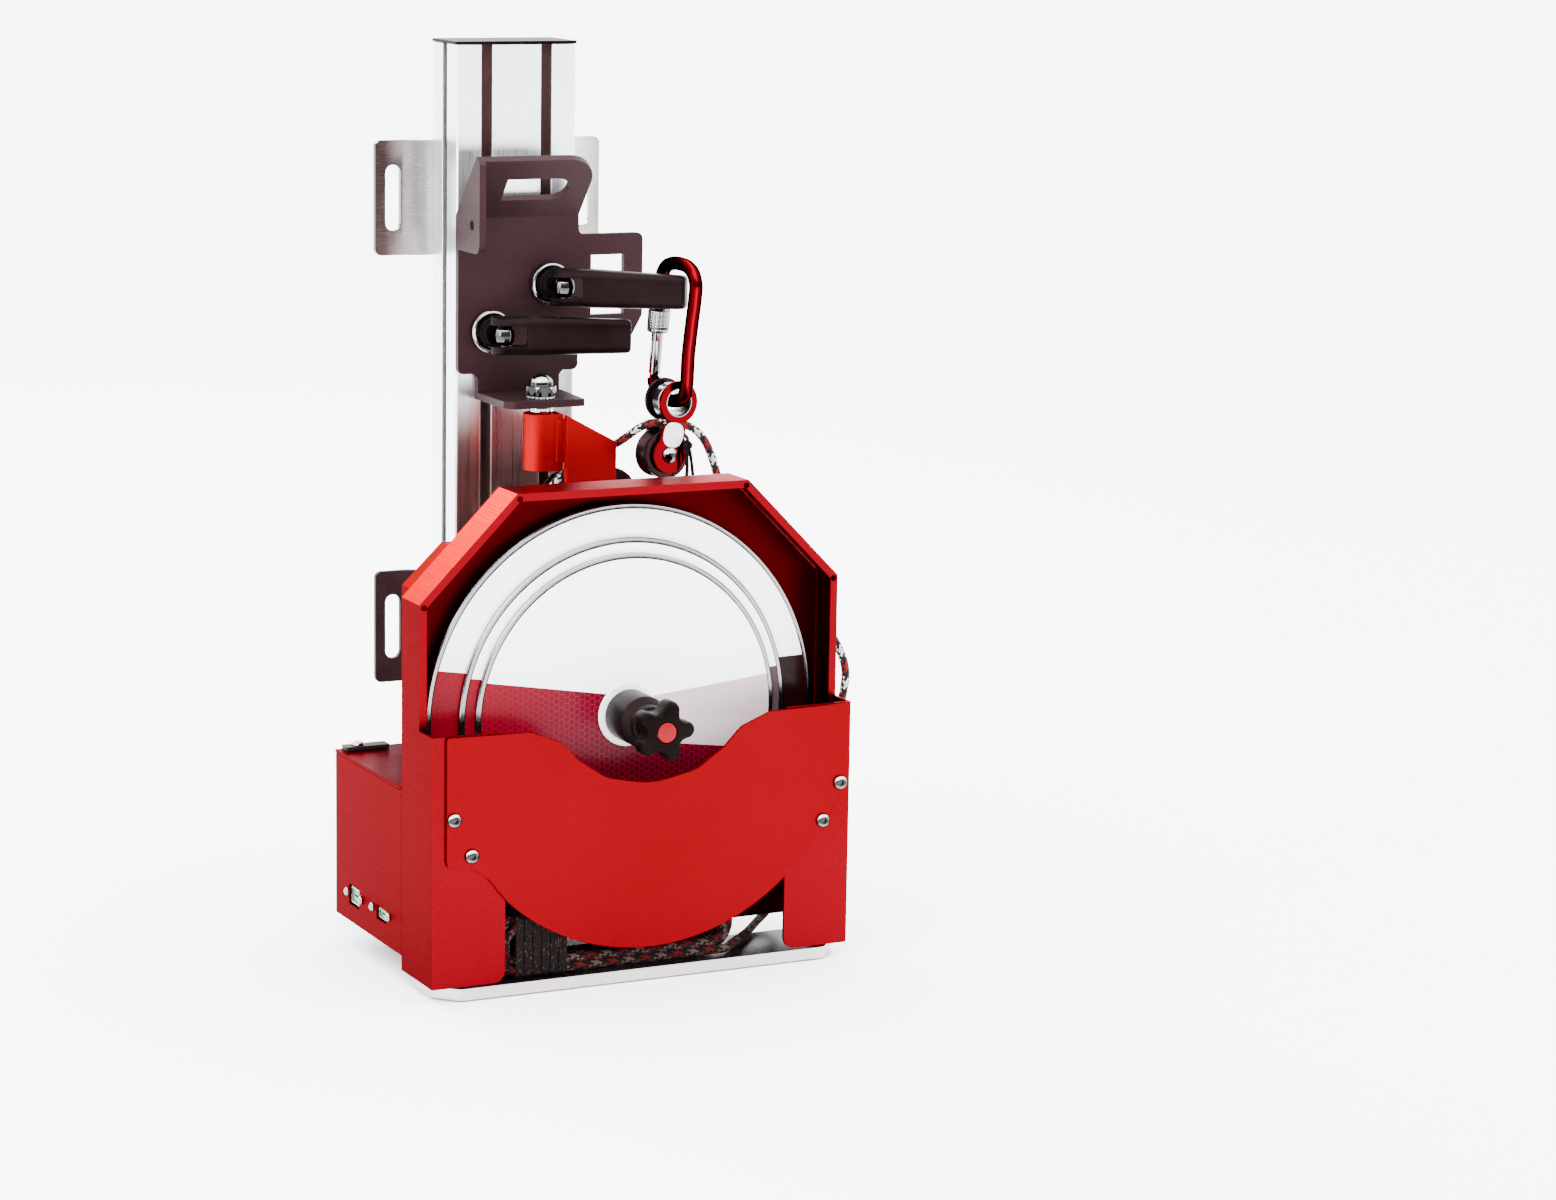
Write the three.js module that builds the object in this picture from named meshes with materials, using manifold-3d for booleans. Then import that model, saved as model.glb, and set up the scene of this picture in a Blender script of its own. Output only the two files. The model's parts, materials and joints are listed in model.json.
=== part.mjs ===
// Rail-mounted flywheel rope trainer (isoinertial pulley unit), millimetres, +Z up.
// X runs across the unit, -Y points at the user, and the origin lies on the wall plane, at mid height of
// the upper wall bracket's left wing, just outside its slot.
import * as THREE from "three";
import { mergeVertices } from "three/addons/utils/BufferGeometryUtils.js";
import Module from "manifold-3d";

const wasm = await Module();
wasm.setup();

// ---------------------------------------------------------------- driving dimensions
// Inside the "unit" group X = 0 is the rail's middle, heights count down from its top end, and Y = 0 is its front face.
const WALL_Y = 54.3; // wall plane behind the rail's front face
const ORIGIN_X = -82.2; // left wing of the upper wall bracket, between its slot and its edge
const ORIGIN_Z = -109.5; // height of the upper wall bracket's middle
const RAIL = { w: 90, d: 45, len: 600, slot: 8.2, lip: 3.2, chamber: 16.4, depth: 10.2 };
const CAP_T = 2;
const BRACKET = { half: 86, h: 81, t: 4, upperZ: -109.5, lowerZ: -417.0, slotX: 72.7, slotW: 11.4, slotL: 46.6 };
const PLATE_T = 5; // carriage sheet
const PLATE_F = -5.3; // its front face
const STUD_Y = -46; // swivel axis
const CLAMP_UP = { x: 22.5, z: -166.8, angle: 40 };
const CLAMP_LO = { x: -22.5, z: -199.0, angle: 21 };
const PIVOT_Y = -34;
const LEVER_L = 88;
const AXIS_Z = -437.5; // flywheel axis height, at x = 0
const DISC = { large: 142.5, medium: 120, small: 110, t: 4, front: -187 };
const GUARD = { hw: 153.8, top: 156.3, bot: -167.6, chX: 84.7, chZ: 86.6, t: 2, front: -203.6, low: -226.6, back: -172.2, lip: 5.4, step: 2.5 };
const ROPE_R = 3.1;
const GAP = 0.3;

const COL = {
  red: 0xb3121a, redDark: 0x9c1626, black: 0x1c1a1b, powder: 0x3a2d30, chrome: 0xd9dadb, alu: 0xcfd3d6,
  steel: 0xb9bcc0, white: 0xf0f2f3, crimson: 0xa01040, grey: 0x6d6a70, rope: 0x2b2a2c, brass: 0xb08d45, board: 0x1f5a35,
};

// ---------------------------------------------------------------- helpers
const V = (x, y, z) => new THREE.Vector3(x, y, z);

function solid(geometry) {
  const g = geometry.clone();
  g.deleteAttribute("normal");
  g.deleteAttribute("uv");
  const m = mergeVertices(g, 1e-4);
  return new wasm.Manifold(new wasm.Mesh({
    numProp: 3, vertProperties: m.attributes.position.array, triVerts: new Uint32Array(m.index.array),
  }));
}
function geometryOf(s) {
  const m = s.getMesh();
  const n = m.numProp;
  const v = new Float32Array(m.numVert * 3);
  for (let i = 0; i < m.numVert; i++) v.set(m.vertProperties.subarray(i * n, i * n + 3), i * 3);
  return new THREE.BufferGeometry().setAttribute("position", new THREE.BufferAttribute(v, 3)).setIndex(new THREE.BufferAttribute(m.triVerts, 1));
}
const join = (...s) => s.reduce((a, b) => a.add(b));
const cut = (a, ...s) => s.reduce((x, b) => x.subtract(b), a);

function box(x0, x1, y0, y1, z0, z1) {
  return solid(new THREE.BoxGeometry(x1 - x0, y1 - y0, z1 - z0).translate((x0 + x1) / 2, (y0 + y1) / 2, (z0 + z1) / 2));
}
// cylinders along Y and along Z, given by their end planes
function cylY(x, z, r, y0, y1, n = 32, r1 = r) {
  return solid(new THREE.CylinderGeometry(r1, r, y1 - y0, n).translate(x, (y0 + y1) / 2, z));
}
function cylZ(x, y, r, z0, z1, n = 32, r1 = r) {
  return solid(new THREE.CylinderGeometry(r1, r, z1 - z0, n).rotateX(Math.PI / 2).translate(x, y, (z0 + z1) / 2));
}
// a shape from corner points [x, y] or [x, y, radius]
function rounded(pts, seg = 4) {
  const s = new THREE.Shape();
  const n = pts.length;
  pts.forEach((p, i) => {
    const a = pts[(i + n - 1) % n], b = pts[(i + 1) % n];
    const r = p[2] || 0;
    if (!r) {
      i === 0 ? s.moveTo(p[0], p[1]) : s.lineTo(p[0], p[1]);
      return;
    }
    const va = new THREE.Vector2(a[0] - p[0], a[1] - p[1]).normalize();
    const vb = new THREE.Vector2(b[0] - p[0], b[1] - p[1]).normalize();
    const half = Math.acos(THREE.MathUtils.clamp(va.dot(vb), -1, 1)) / 2;
    const d = r / Math.tan(half);
    const c = va.clone().add(vb).normalize().multiplyScalar(r / Math.sin(half)).add(new THREE.Vector2(p[0], p[1]));
    const s0 = new THREE.Vector2(p[0], p[1]).addScaledVector(va, d);
    const s1 = new THREE.Vector2(p[0], p[1]).addScaledVector(vb, d);
    const a0 = Math.atan2(s0.y - c.y, s0.x - c.x);
    let a1 = Math.atan2(s1.y - c.y, s1.x - c.x);
    let da = a1 - a0;
    while (da > Math.PI) da -= 2 * Math.PI;
    while (da < -Math.PI) da += 2 * Math.PI;
    for (let k = 0; k <= seg; k++) {
      const t = a0 + (da * k) / seg;
      const x = c.x + r * Math.cos(t), y = c.y + r * Math.sin(t);
      i === 0 && k === 0 ? s.moveTo(x, y) : s.lineTo(x, y);
    }
  });
  s.closePath();
  return s;
}
function circlePts(cx, cy, r, n = 24, a0 = 0, a1 = 2 * Math.PI, closed = true) {
  const out = [];
  const m = closed ? n : n + 1;
  for (let i = 0; i < m; i++) {
    const t = a0 + ((a1 - a0) * i) / n;
    out.push([cx + r * Math.cos(t), cy + r * Math.sin(t)]);
  }
  return out;
}
const holePath = (pts) => new THREE.Path(pts.map((p) => new THREE.Vector2(p[0], p[1])));
function stadiumPts(x0, y0, x1, y1, r, n = 8) {
  const a = Math.atan2(y1 - y0, x1 - x0);
  return [...circlePts(x1, y1, r, n, a - Math.PI / 2, a + Math.PI / 2, false), ...circlePts(x0, y0, r, n, a + Math.PI / 2, a + 1.5 * Math.PI, false)];
}
const shapeOf = (pts, holes = []) => {
  const s = Array.isArray(pts) ? new THREE.Shape(pts.map((p) => new THREE.Vector2(p[0], p[1]))) : pts;
  holes.forEach((h) => s.holes.push(holePath(h)));
  return s;
};
// plates: drawn in XZ and spanning y0..y1, drawn in XY and spanning z0..z1, drawn in YZ and spanning x0..x1
function plateXZ(shape, y0, y1) {
  const g = new THREE.ExtrudeGeometry(shape, { depth: y1 - y0, bevelEnabled: false, curveSegments: 12 });
  return solid(g.rotateX(Math.PI / 2).translate(0, y1, 0));
}
function plateXY(shape, z0, z1) {
  return solid(new THREE.ExtrudeGeometry(shape, { depth: z1 - z0, bevelEnabled: false, curveSegments: 12 }).translate(0, 0, z0));
}
function plateYZ(shape, x0, x1) {
  const g = new THREE.ExtrudeGeometry(shape, { depth: x1 - x0, bevelEnabled: false, curveSegments: 12 });
  g.applyMatrix4(new THREE.Matrix4().makeBasis(V(0, 1, 0), V(0, 0, 1), V(1, 0, 0)));
  return solid(g.translate(x0, 0, 0));
}
// a turned piece: profile of [radius, y], axis along Y through (x, z)
function turnedY(x, z, profile, n = 32) {
  const pts = profile.map((p) => new THREE.Vector2(p[0], p[1]));
  return solid(new THREE.LatheGeometry(pts, n).translate(x, 0, z));
}
function turnedZ(x, y, profile, n = 32) {
  const pts = profile.map((p) => new THREE.Vector2(p[0], p[1]));
  return solid(new THREE.LatheGeometry(pts, n).rotateX(Math.PI / 2).translate(x, y, 0));
}
function tube(points, r, sides, steps) {
  const curve = new THREE.CatmullRomCurve3(points.map((p) => V(...p)), false, "centripetal");
  const sec = new THREE.Shape(circlePts(0, 0, r, sides).map((p) => new THREE.Vector2(p[0], p[1])));
  return solid(new THREE.ExtrudeGeometry(sec, { steps, extrudePath: curve, bevelEnabled: false }));
}

const root = new THREE.Group();
const unit = new THREE.Group();
unit.position.set(-ORIGIN_X, -WALL_Y, -ORIGIN_Z);
root.add(unit);

function add(name, s, color, roughness = 0.45, metalness = 0.0, parent = unit) {
  const mesh = new THREE.Mesh(geometryOf(s), new THREE.MeshStandardMaterial({ color, roughness, metalness }));
  mesh.name = name;
  parent.add(mesh);
  return mesh;
}

// ---------------------------------------------------------------- rail and wall brackets
{
  const { w, d, slot, lip, chamber, depth } = RAIL;
  const h = slot / 2, c = chamber / 2;
  const slotCut = (cx, cy, dir) => {
    // a T-shaped groove opening towards dir, drawn in XY
    const pts = [[-h, 1], [-h, -lip], [-c, -lip], [-c, -lip - 4.6], [-h + 0.4, -depth], [h - 0.4, -depth], [c, -lip - 4.6], [c, -lip], [h, -lip], [h, 1]];
    const rot = { front: (p) => [cx + p[0], cy - p[1]], back: (p) => [cx - p[0], cy + p[1]], left: (p) => [cx - p[1], cy - p[0]], right: (p) => [cx + p[1], cy + p[0]] }[dir];
    return pts.map(rot);
  };
  let s = plateXY(rounded([[-w / 2, 0, 1.5], [w / 2, 0, 1.5], [w / 2, d, 1.5], [-w / 2, d, 1.5]], 3), -RAIL.len, 0);
  const grooves = [slotCut(-22.5, 0, "front"), slotCut(22.5, 0, "front"), slotCut(-22.5, d, "back"), slotCut(22.5, d, "back"), slotCut(-w / 2, d / 2, "left"), slotCut(w / 2, d / 2, "right")];
  for (const g of grooves) {
    const ccw = THREE.ShapeUtils.area(g.map((p) => new THREE.Vector2(p[0], p[1]))) > 0 ? g : g.slice().reverse();
    s = s.subtract(plateXY(shapeOf(ccw), -RAIL.len - 1, 1));
  }
  s = s.subtract(cylZ(-22.5, d / 2, 3.4, -RAIL.len - 1, 1, 12));
  s = s.subtract(cylZ(22.5, d / 2, 3.4, -RAIL.len - 1, 1, 12));
  s = s.subtract(box(-9, 9, 9, 36, -RAIL.len - 1, 1));
  add("rail_profile", s, COL.alu, 0.35, 0.9);

  const cap = rounded([[-45.8, -0.8, 2], [45.8, -0.8, 2], [45.8, 45.8, 2], [-45.8, 45.8, 2]], 3);
  add("rail_top_cap", plateXY(cap, GAP, GAP + CAP_T), COL.black, 0.5, 0.0);
}
function wallBracket(zc) {
  const { half, h, t, slotX, slotW, slotL } = BRACKET;
  const y0 = RAIL.d + GAP, y1 = WALL_Y - t;
  const plan = [[-half, y1], [-64, y1], [-52, y0], [52, y0], [64, y1], [half, y1], [half, y1 + t], [62.4, y1 + t], [50.4, y0 + t], [-50.4, y0 + t], [-62.4, y1 + t], [-half, y1 + t]];
  const bent = plateXY(shapeOf(plan), zc - h / 2, zc + h / 2);
  const z0 = zc - h / 2, z1 = zc + h / 2, r = slotW / 2;
  const face = rounded([[-half, z0, 4.5], [half, z0, 4.5], [half, z1, 4.5], [-half, z1, 4.5]], 4);
  for (const sx of [-1, 1]) face.holes.push(holePath(stadiumPts(sx * slotX, zc - slotL / 2 + r, sx * slotX, zc + slotL / 2 - r, r, 8)));
  for (const sx of [-1, 1]) face.holes.push(holePath(circlePts(sx * 22.5, zc, 4.4, 16)));
  return bent.intersect(plateXZ(face, y0 - 2, WALL_Y + 2));
}
add("upper_wall_bracket", wallBracket(BRACKET.upperZ), COL.steel, 0.25, 1.0);
add("lower_wall_bracket", wallBracket(BRACKET.lowerZ), COL.black, 0.55, 0.2);
function tBolt(x, z) {
  // hammer head in the rail's back groove, shank through the bracket, hex nut behind it
  const head = box(x - 6.8, x + 6.8, 37.7, 41.4, z - 4, z + 4);
  const shank = cylY(x, z, 3.9, 39, 53.4, 12);
  const nut = cylY(x, z, 7.2, RAIL.d + GAP + BRACKET.t + GAP, 52.6, 6);
  return join(head, shank, nut);
}
for (const [n, x, z] of [["upper_bracket_bolt_left", -22.5, BRACKET.upperZ], ["upper_bracket_bolt_right", 22.5, BRACKET.upperZ], ["lower_bracket_bolt_left", -22.5, BRACKET.lowerZ], ["lower_bracket_bolt_right", 22.5, BRACKET.lowerZ]])
  add(n, tBolt(x, z), COL.steel, 0.3, 1.0);

// ---------------------------------------------------------------- carriage
{
  const f = PLATE_F, b = PLATE_F + PLATE_T;
  const face = rounded([
    [-45.8, -229, 4], [-33, -229, 2.5], [-30.8, -232, 2.5], [-30.8, -247.6], [31.5, -247.6], [31.5, -232, 2.5], [34, -229, 2.5], [45.8, -229, 4],
    [45.8, -213, 3], [84, -213, 3], [95.7, -192, 3], [95.7, -133.2, 4.5], [45.8, -133.2, 4], [45.8, -118], [-45.8, -118],
  ], 4);
  face.holes.push(holePath([[55.6, -190.7], [81.2, -190.7], [81.2, -148.2], [55.6, -148.2]]));
  for (const c of [CLAMP_UP, CLAMP_LO]) face.holes.push(holePath(circlePts(c.x, c.z, 4.4, 16)));
  let s = plateXZ(face, f, b);
  // grip plate, leaning out from the top fold
  const sl = V(0, -0.6497, 0.7602), nrm = V(0, -0.7602, -0.6497);
  const grip = rounded([[-45.8, -1.2], [45.5, -1.2], [45.5, 55.5, 22], [-45.8, 55.5]], 8);
  grip.holes.push(holePath([[-18.6, 16.7], ...circlePts(19.8, 27, 10.3, 8, -Math.PI / 2, Math.PI / 2, false), [-18.6, 37.3]]));
  const gg = new THREE.ExtrudeGeometry(grip, { depth: PLATE_T, bevelEnabled: false, curveSegments: 12 });
  gg.translate(0, 0, -PLATE_T).applyMatrix4(new THREE.Matrix4().makeBasis(V(1, 0, 0), sl, nrm)).translate(0, f, -119.7);
  s = s.add(solid(gg));
  // left cheek of the grip
  const cheek = rounded([[b, -141.4], [b, -118], [-4, -114.2], [-37.8, -74.6], [-41.6, -77.4], [-43.4, -79.6], [-43.4, -141.4, 7]].reverse(), 4);
  cheek.holes.push(holePath(circlePts(-29.7, -122.3, 3.7, 14)));
  s = s.add(plateYZ(cheek, -45.8, -40.8));
  // bottom flange that carries the swivel stud
  const fl = rounded([[-30.8, b], [-30.8, -52], [-25, -59, 3], [28, -59, 2], [31.5, -12], [31.5, b]], 3);
  fl.holes.push(holePath(circlePts(0, STUD_Y, 6.4, 24)));
  s = s.add(plateXY(fl, -247.6, -242.6));
  // keep the back of the sheet in one plane
  s = s.subtract(box(-60, 60, b, b + 6, -260, -60));
  add("carriage_plate", s, COL.powder, 0.6, 0.3);
}
function clampStud(c) {
  const head = box(c.x - 6.8, c.x + 6.8, 3.6, 7.3, c.z - 4, c.z + 4);
  const shank = cylY(c.x, c.z, 3.9, -30, 5, 14);
  const ball = solid(new THREE.SphereGeometry(7.1, 20, 12).translate(c.x, PIVOT_Y, c.z));
  return cut(join(head, shank, ball), cylZ(c.x, PIVOT_Y, 3.3, c.z - 20, c.z + 20, 16));
}
function clampCup(c) {
  const y = PLATE_F - GAP;
  return turnedY(c.x, c.z, [[4.3, y], [4.3, y - 3.6], [11.4, y - 3.6], [12.3, y - 6.8], [13.6, y - 7.2], [14.8, y - 6.2], [14.8, y - 1], [13.8, y], [4.3, y]], 36);
}
function thrustPad(c) {
  const y = PLATE_F - GAP - 3.6 - GAP;
  return turnedY(c.x, c.z, [[4.3, y], [4.3, y - 11.2], [8.6, y - 11.2], [9.4, y - 10.4], [9.4, y - 6], [10.8, y - 5.2], [10.8, y], [4.3, y]], 28);
}
for (const [n, c] of [["upper", CLAMP_UP], ["lower", CLAMP_LO]]) {
  add(n + "_clamp_stud", clampStud(c), COL.chrome, 0.12, 1.0);
  add(n + "_clamp_cup", clampCup(c), COL.chrome, 0.2, 1.0);
  add(n + "_thrust_pad", thrustPad(c), COL.black, 0.5, 0.0);
}
function lever(c) {
  // drawn along local +X from the pivot, turned towards the user by c.angle
  const plan = rounded([[-10.6, 0, 0], [-9.2, 5.3], [-5.3, 9.2], [0, 10.4], [12, 9.0], [30, 7.2], [LEVER_L - 2, 6.0, 3], [LEVER_L, -5.2, 3], [30, -7.4], [12, -9.6], [0, -10.4], [-5.3, -9.2], [-9.2, -5.3]].reverse(), 3);
  const body = plateXY(plan, -14, 14);
  const side = rounded([[-12, -12.6, 4], [14, -13.6], [40, -13.2], [LEVER_L, -12.0, 3], [LEVER_L, 12.0, 3], [40, 13.2], [14, 13.6], [-12, 12.6, 4]], 3);
  let s = body.intersect(plateXZ(side, -20, 20));
  s = s.subtract(box(-14, 12.5, -20, 20, -7.6, 7.6)).subtract(plateXZ(shapeOf(circlePts(12.5, 0, 7.6, 16)), -20, 20));
  s = s.subtract(cylZ(0, 0, 3.3, -20, 20, 16));
  return s;
}
for (const [n, c] of [["upper", CLAMP_UP], ["lower", CLAMP_LO]]) {
  const g = new THREE.Group();
  g.position.set(c.x, PIVOT_Y, c.z);
  g.rotation.z = -THREE.MathUtils.degToRad(c.angle);
  unit.add(g);
  add(n + "_lever", lever(c), COL.black, 0.4, 0.1, g);
  add(n + "_lever_pin", cylZ(0, 0, 3.0, -12.8, 12.8, 16), COL.steel, 0.25, 1.0, g);
}
add("pivot_stud", join(cylZ(0, STUD_Y, 5.9, -290, -230.5, 24), cylZ(0, STUD_Y, 8.4, -252.2, -248.0, 24)), COL.chrome, 0.2, 1.0);
{
  let nut = cylZ(0, STUD_Y, 10.9, -240.3, -233.4, 6);
  nut = nut.intersect(turnedZ(0, STUD_Y, [[0, 240.3], [9.9, 240.3], [10.9, 239.4], [10.9, 234.3], [9.6, 233.3], [0, 233.3]].map((p) => [p[0], -p[1]]), 24));
  const dome = turnedZ(0, STUD_Y, [[0, -234.5], [8.2, -234.5], [8.2, -231.4], [7.4, -228.6], [5.4, -226.4], [2.8, -225.3], [0, -225]], 24);
  nut = nut.add(dome).subtract(cylZ(0, STUD_Y, 6.2, -245, -230.2, 24));
  add("acorn_nut", nut, COL.chrome, 0.12, 1.0);
  const teeth = [];
  for (let i = 0; i < 40; i++) teeth.push([(i % 2 ? 10.2 : 9.1) * Math.cos((i * Math.PI) / 20), STUD_Y + (i % 2 ? 10.2 : 9.1) * Math.sin((i * Math.PI) / 20)]);
  add("tooth_washer", plateXY(shapeOf(teeth, [circlePts(0, STUD_Y, 6.2, 20)]), -242.3, -240.6), COL.steel, 0.25, 1.0);
}

// ---------------------------------------------------------------- carabiner, hooked over the upper lever
const CARA = { x: 86.1, y: -87.4, ex: 0.208, ey: -0.978, r: 4.8 };
const caraPoint = (d, z) => [CARA.x + CARA.ex * d, CARA.y + CARA.ey * d, z];
{
  const path = [[-28.3, -229.5], [-27.6, -233.5], [-24, -238.6], [-17, -242.4], [-8, -243.6], [1, -242.2], [7.0, -238.6], [9.5, -230.5], [10.8, -212], [13.6, -193], [18.2, -167], [18.6, -160], [15.6, -152.6], [9.5, -148.4], [1, -147], [-8, -147.4], [-15.4, -150.2], [-19.6, -156], [-20.6, -163.2]];
  add("carabiner_frame", tube(path.map((p) => caraPoint(...p)), CARA.r, 10, 64), COL.red, 0.3, 0.7);
  const g0 = V(...caraPoint(-28.1, -227.9)), g1 = V(...caraPoint(-20.8, -164.4));
  const dir = g1.clone().sub(g0).normalize();
  const L = g1.distanceTo(g0);
  const q = new THREE.Quaternion().setFromUnitVectors(V(0, 1, 0), dir);
  const place = (geo, t) => geo.applyQuaternion(q).translate(...g0.clone().addScaledVector(dir, t).toArray());
  const bar = solid(place(new THREE.CylinderGeometry(4.1, 4.1, L, 16), L / 2));
  const slot = solid(place(new THREE.BoxGeometry(20, 26, 2.6), 13.4));
  add("carabiner_gate", bar.subtract(slot), COL.steel, 0.2, 1.0);
  const t0 = 31.2, t1 = 48.0;
  const ring = new THREE.LatheGeometry([[4.5, t0], [7.0, t0], [7.8, t0 + 0.9], [7.8, t1 - 0.9], [7.0, t1], [4.5, t1], [4.5, t0]].map((p) => new THREE.Vector2(...p)), 24);
  add("carabiner_sleeve", solid(place(ring, 0)), COL.steel, 0.25, 1.0);
}

// ---------------------------------------------------------------- small pulley block on the carabiner
{
  const p = new THREE.Group();
  p.position.set(84.4, -79.6, -243.7);
  p.rotation.set(0, THREE.MathUtils.degToRad(11.1), THREE.MathUtils.degToRad(6), "ZYX");
  unit.add(p);
  const A = -37.2; // axle below the eye
  const outline = [];
  const R1 = 15.2, R2 = 13.2;
  for (const q of circlePts(0, 0, R1, 20, -0.42 * Math.PI / 1, 1.42 * Math.PI, false)) outline.push(q);
  const waist = [[-9.3, -17.5], [-9.4, -22.5]];
  outline.push(...waist);
  for (const q of circlePts(0, A, R2, 18, 0.78 * Math.PI, 2.22 * Math.PI, false)) outline.push(q);
  outline.push([9.4, -22.5], [9.3, -17.5]);
  const cheekShape = () => shapeOf(outline, [circlePts(0, 0, 9.6, 20), circlePts(0, A, 4.3, 16)]);
  const flip = (s) => s;
  add("pulley_front_cheek", flip(plateXZ(cheekShape(), -11, -8.5)), COL.red, 0.3, 0.6, p);
  add("pulley_back_cheek", flip(plateXZ(cheekShape(), 8.5, 11)), COL.black, 0.35, 0.5, p);
  add("pulley_eye_bush", turnedY(0, 0, [[9.4, -8.2], [10.6, -8.2], [10.6, 8.2], [9.4, 8.2], [9.4, -8.2]], 24), COL.steel, 0.3, 1.0, p);
  add("pulley_sheave", turnedY(0, A, [[4.3, -7.6], [17.3, -7.6], [17.3, -6.0], [13.4, -2.2], [13.0, 0], [13.4, 2.2], [17.3, 6.0], [17.3, 7.6], [4.3, 7.6], [4.3, -7.6]], 32), COL.black, 0.35, 0.4, p);
  add("pulley_axle", turnedY(0, A, [[0, -15.2], [2.6, -14.8], [4.6, -13.4], [5.8, -11.3], [4.0, -11.3], [4.0, 11.3], [6.2, 11.3], [5.6, 12.8], [0, 13.2]], 20), COL.chrome, 0.1, 1.0, p);
}
add("pulley_cord", tube([[95.6, -77.8, -268.4], [95.6, -83, -270.2], [92.6, -89.5, -271.6], [90.0, -94.6, -273.4], [89.6, -95.6, -280], [89.9, -95.6, -290], [89.4, -95.2, -300], [89.6, -94.8, -309]], 1.3, 8, 18), COL.black, 0.8, 0.0);

// ---------------------------------------------------------------- swivel arm and rope guide
{
  const yf = -64.5, yb = -58.8;
  const face = shapeOf([[11.8, -252.6], [11.8, -304], [-8, -310], [-8, -336], [66, -336], [66, -312], [49.8, -306], [49.8, -273.2]].map((p) => p), [circlePts(25.5, -317, 4.4, 16)]);
  let s = plateXZ(face, yf, yb);
  s = s.add(plateXY(rounded([[14, yb, 0], [14, -112, 4], [66, -112, 4], [66, yb, 0]], 3), -338.7, -333.9));
  s = s.add(cylZ(0, STUD_Y, 12.5, -292.5, -252.5, 40)).add(box(0, 11.6, -58.5, -33.5, -292.5, -252.5));
  s = s.add(box(6, 16.5, -60, -49, -286, -257));
  s = s.subtract(cylZ(0, STUD_Y, 8.6, -300, -200, 32));
  add("swivel_arm", s, COL.red, 0.35, 0.6);
  add("swivel_bush", turnedZ(0, STUD_Y, [[6.2, -291.8], [8.3, -291.8], [8.3, -252.6], [6.2, -252.6], [6.2, -291.8]], 28), COL.brass, 0.4, 0.9);
  add("guide_wheel", turnedY(25.5, -317, [[4.2, -58.3], [21.6, -58.3], [22.0, -57.6], [19.8, -54.4], [19.8, -53.0], [22.0, -50], [21.6, -49.2], [4.2, -49.2], [4.2, -58.3]], 32), COL.black, 0.4, 0.1);
  const st = shapeOf(stadiumPts(19.7, -315.2, 51.7, -315.2, 21.7, 12));
  add("guide_plate", join(plateXZ(st, -48.8, -45.8), cylY(25.5, -317, 3.9, -66.6, -46, 18), cylY(25.5, -317, 6.6, -67.6, -64.8, 6)), COL.black, 0.45, 0.2);
}

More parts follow.
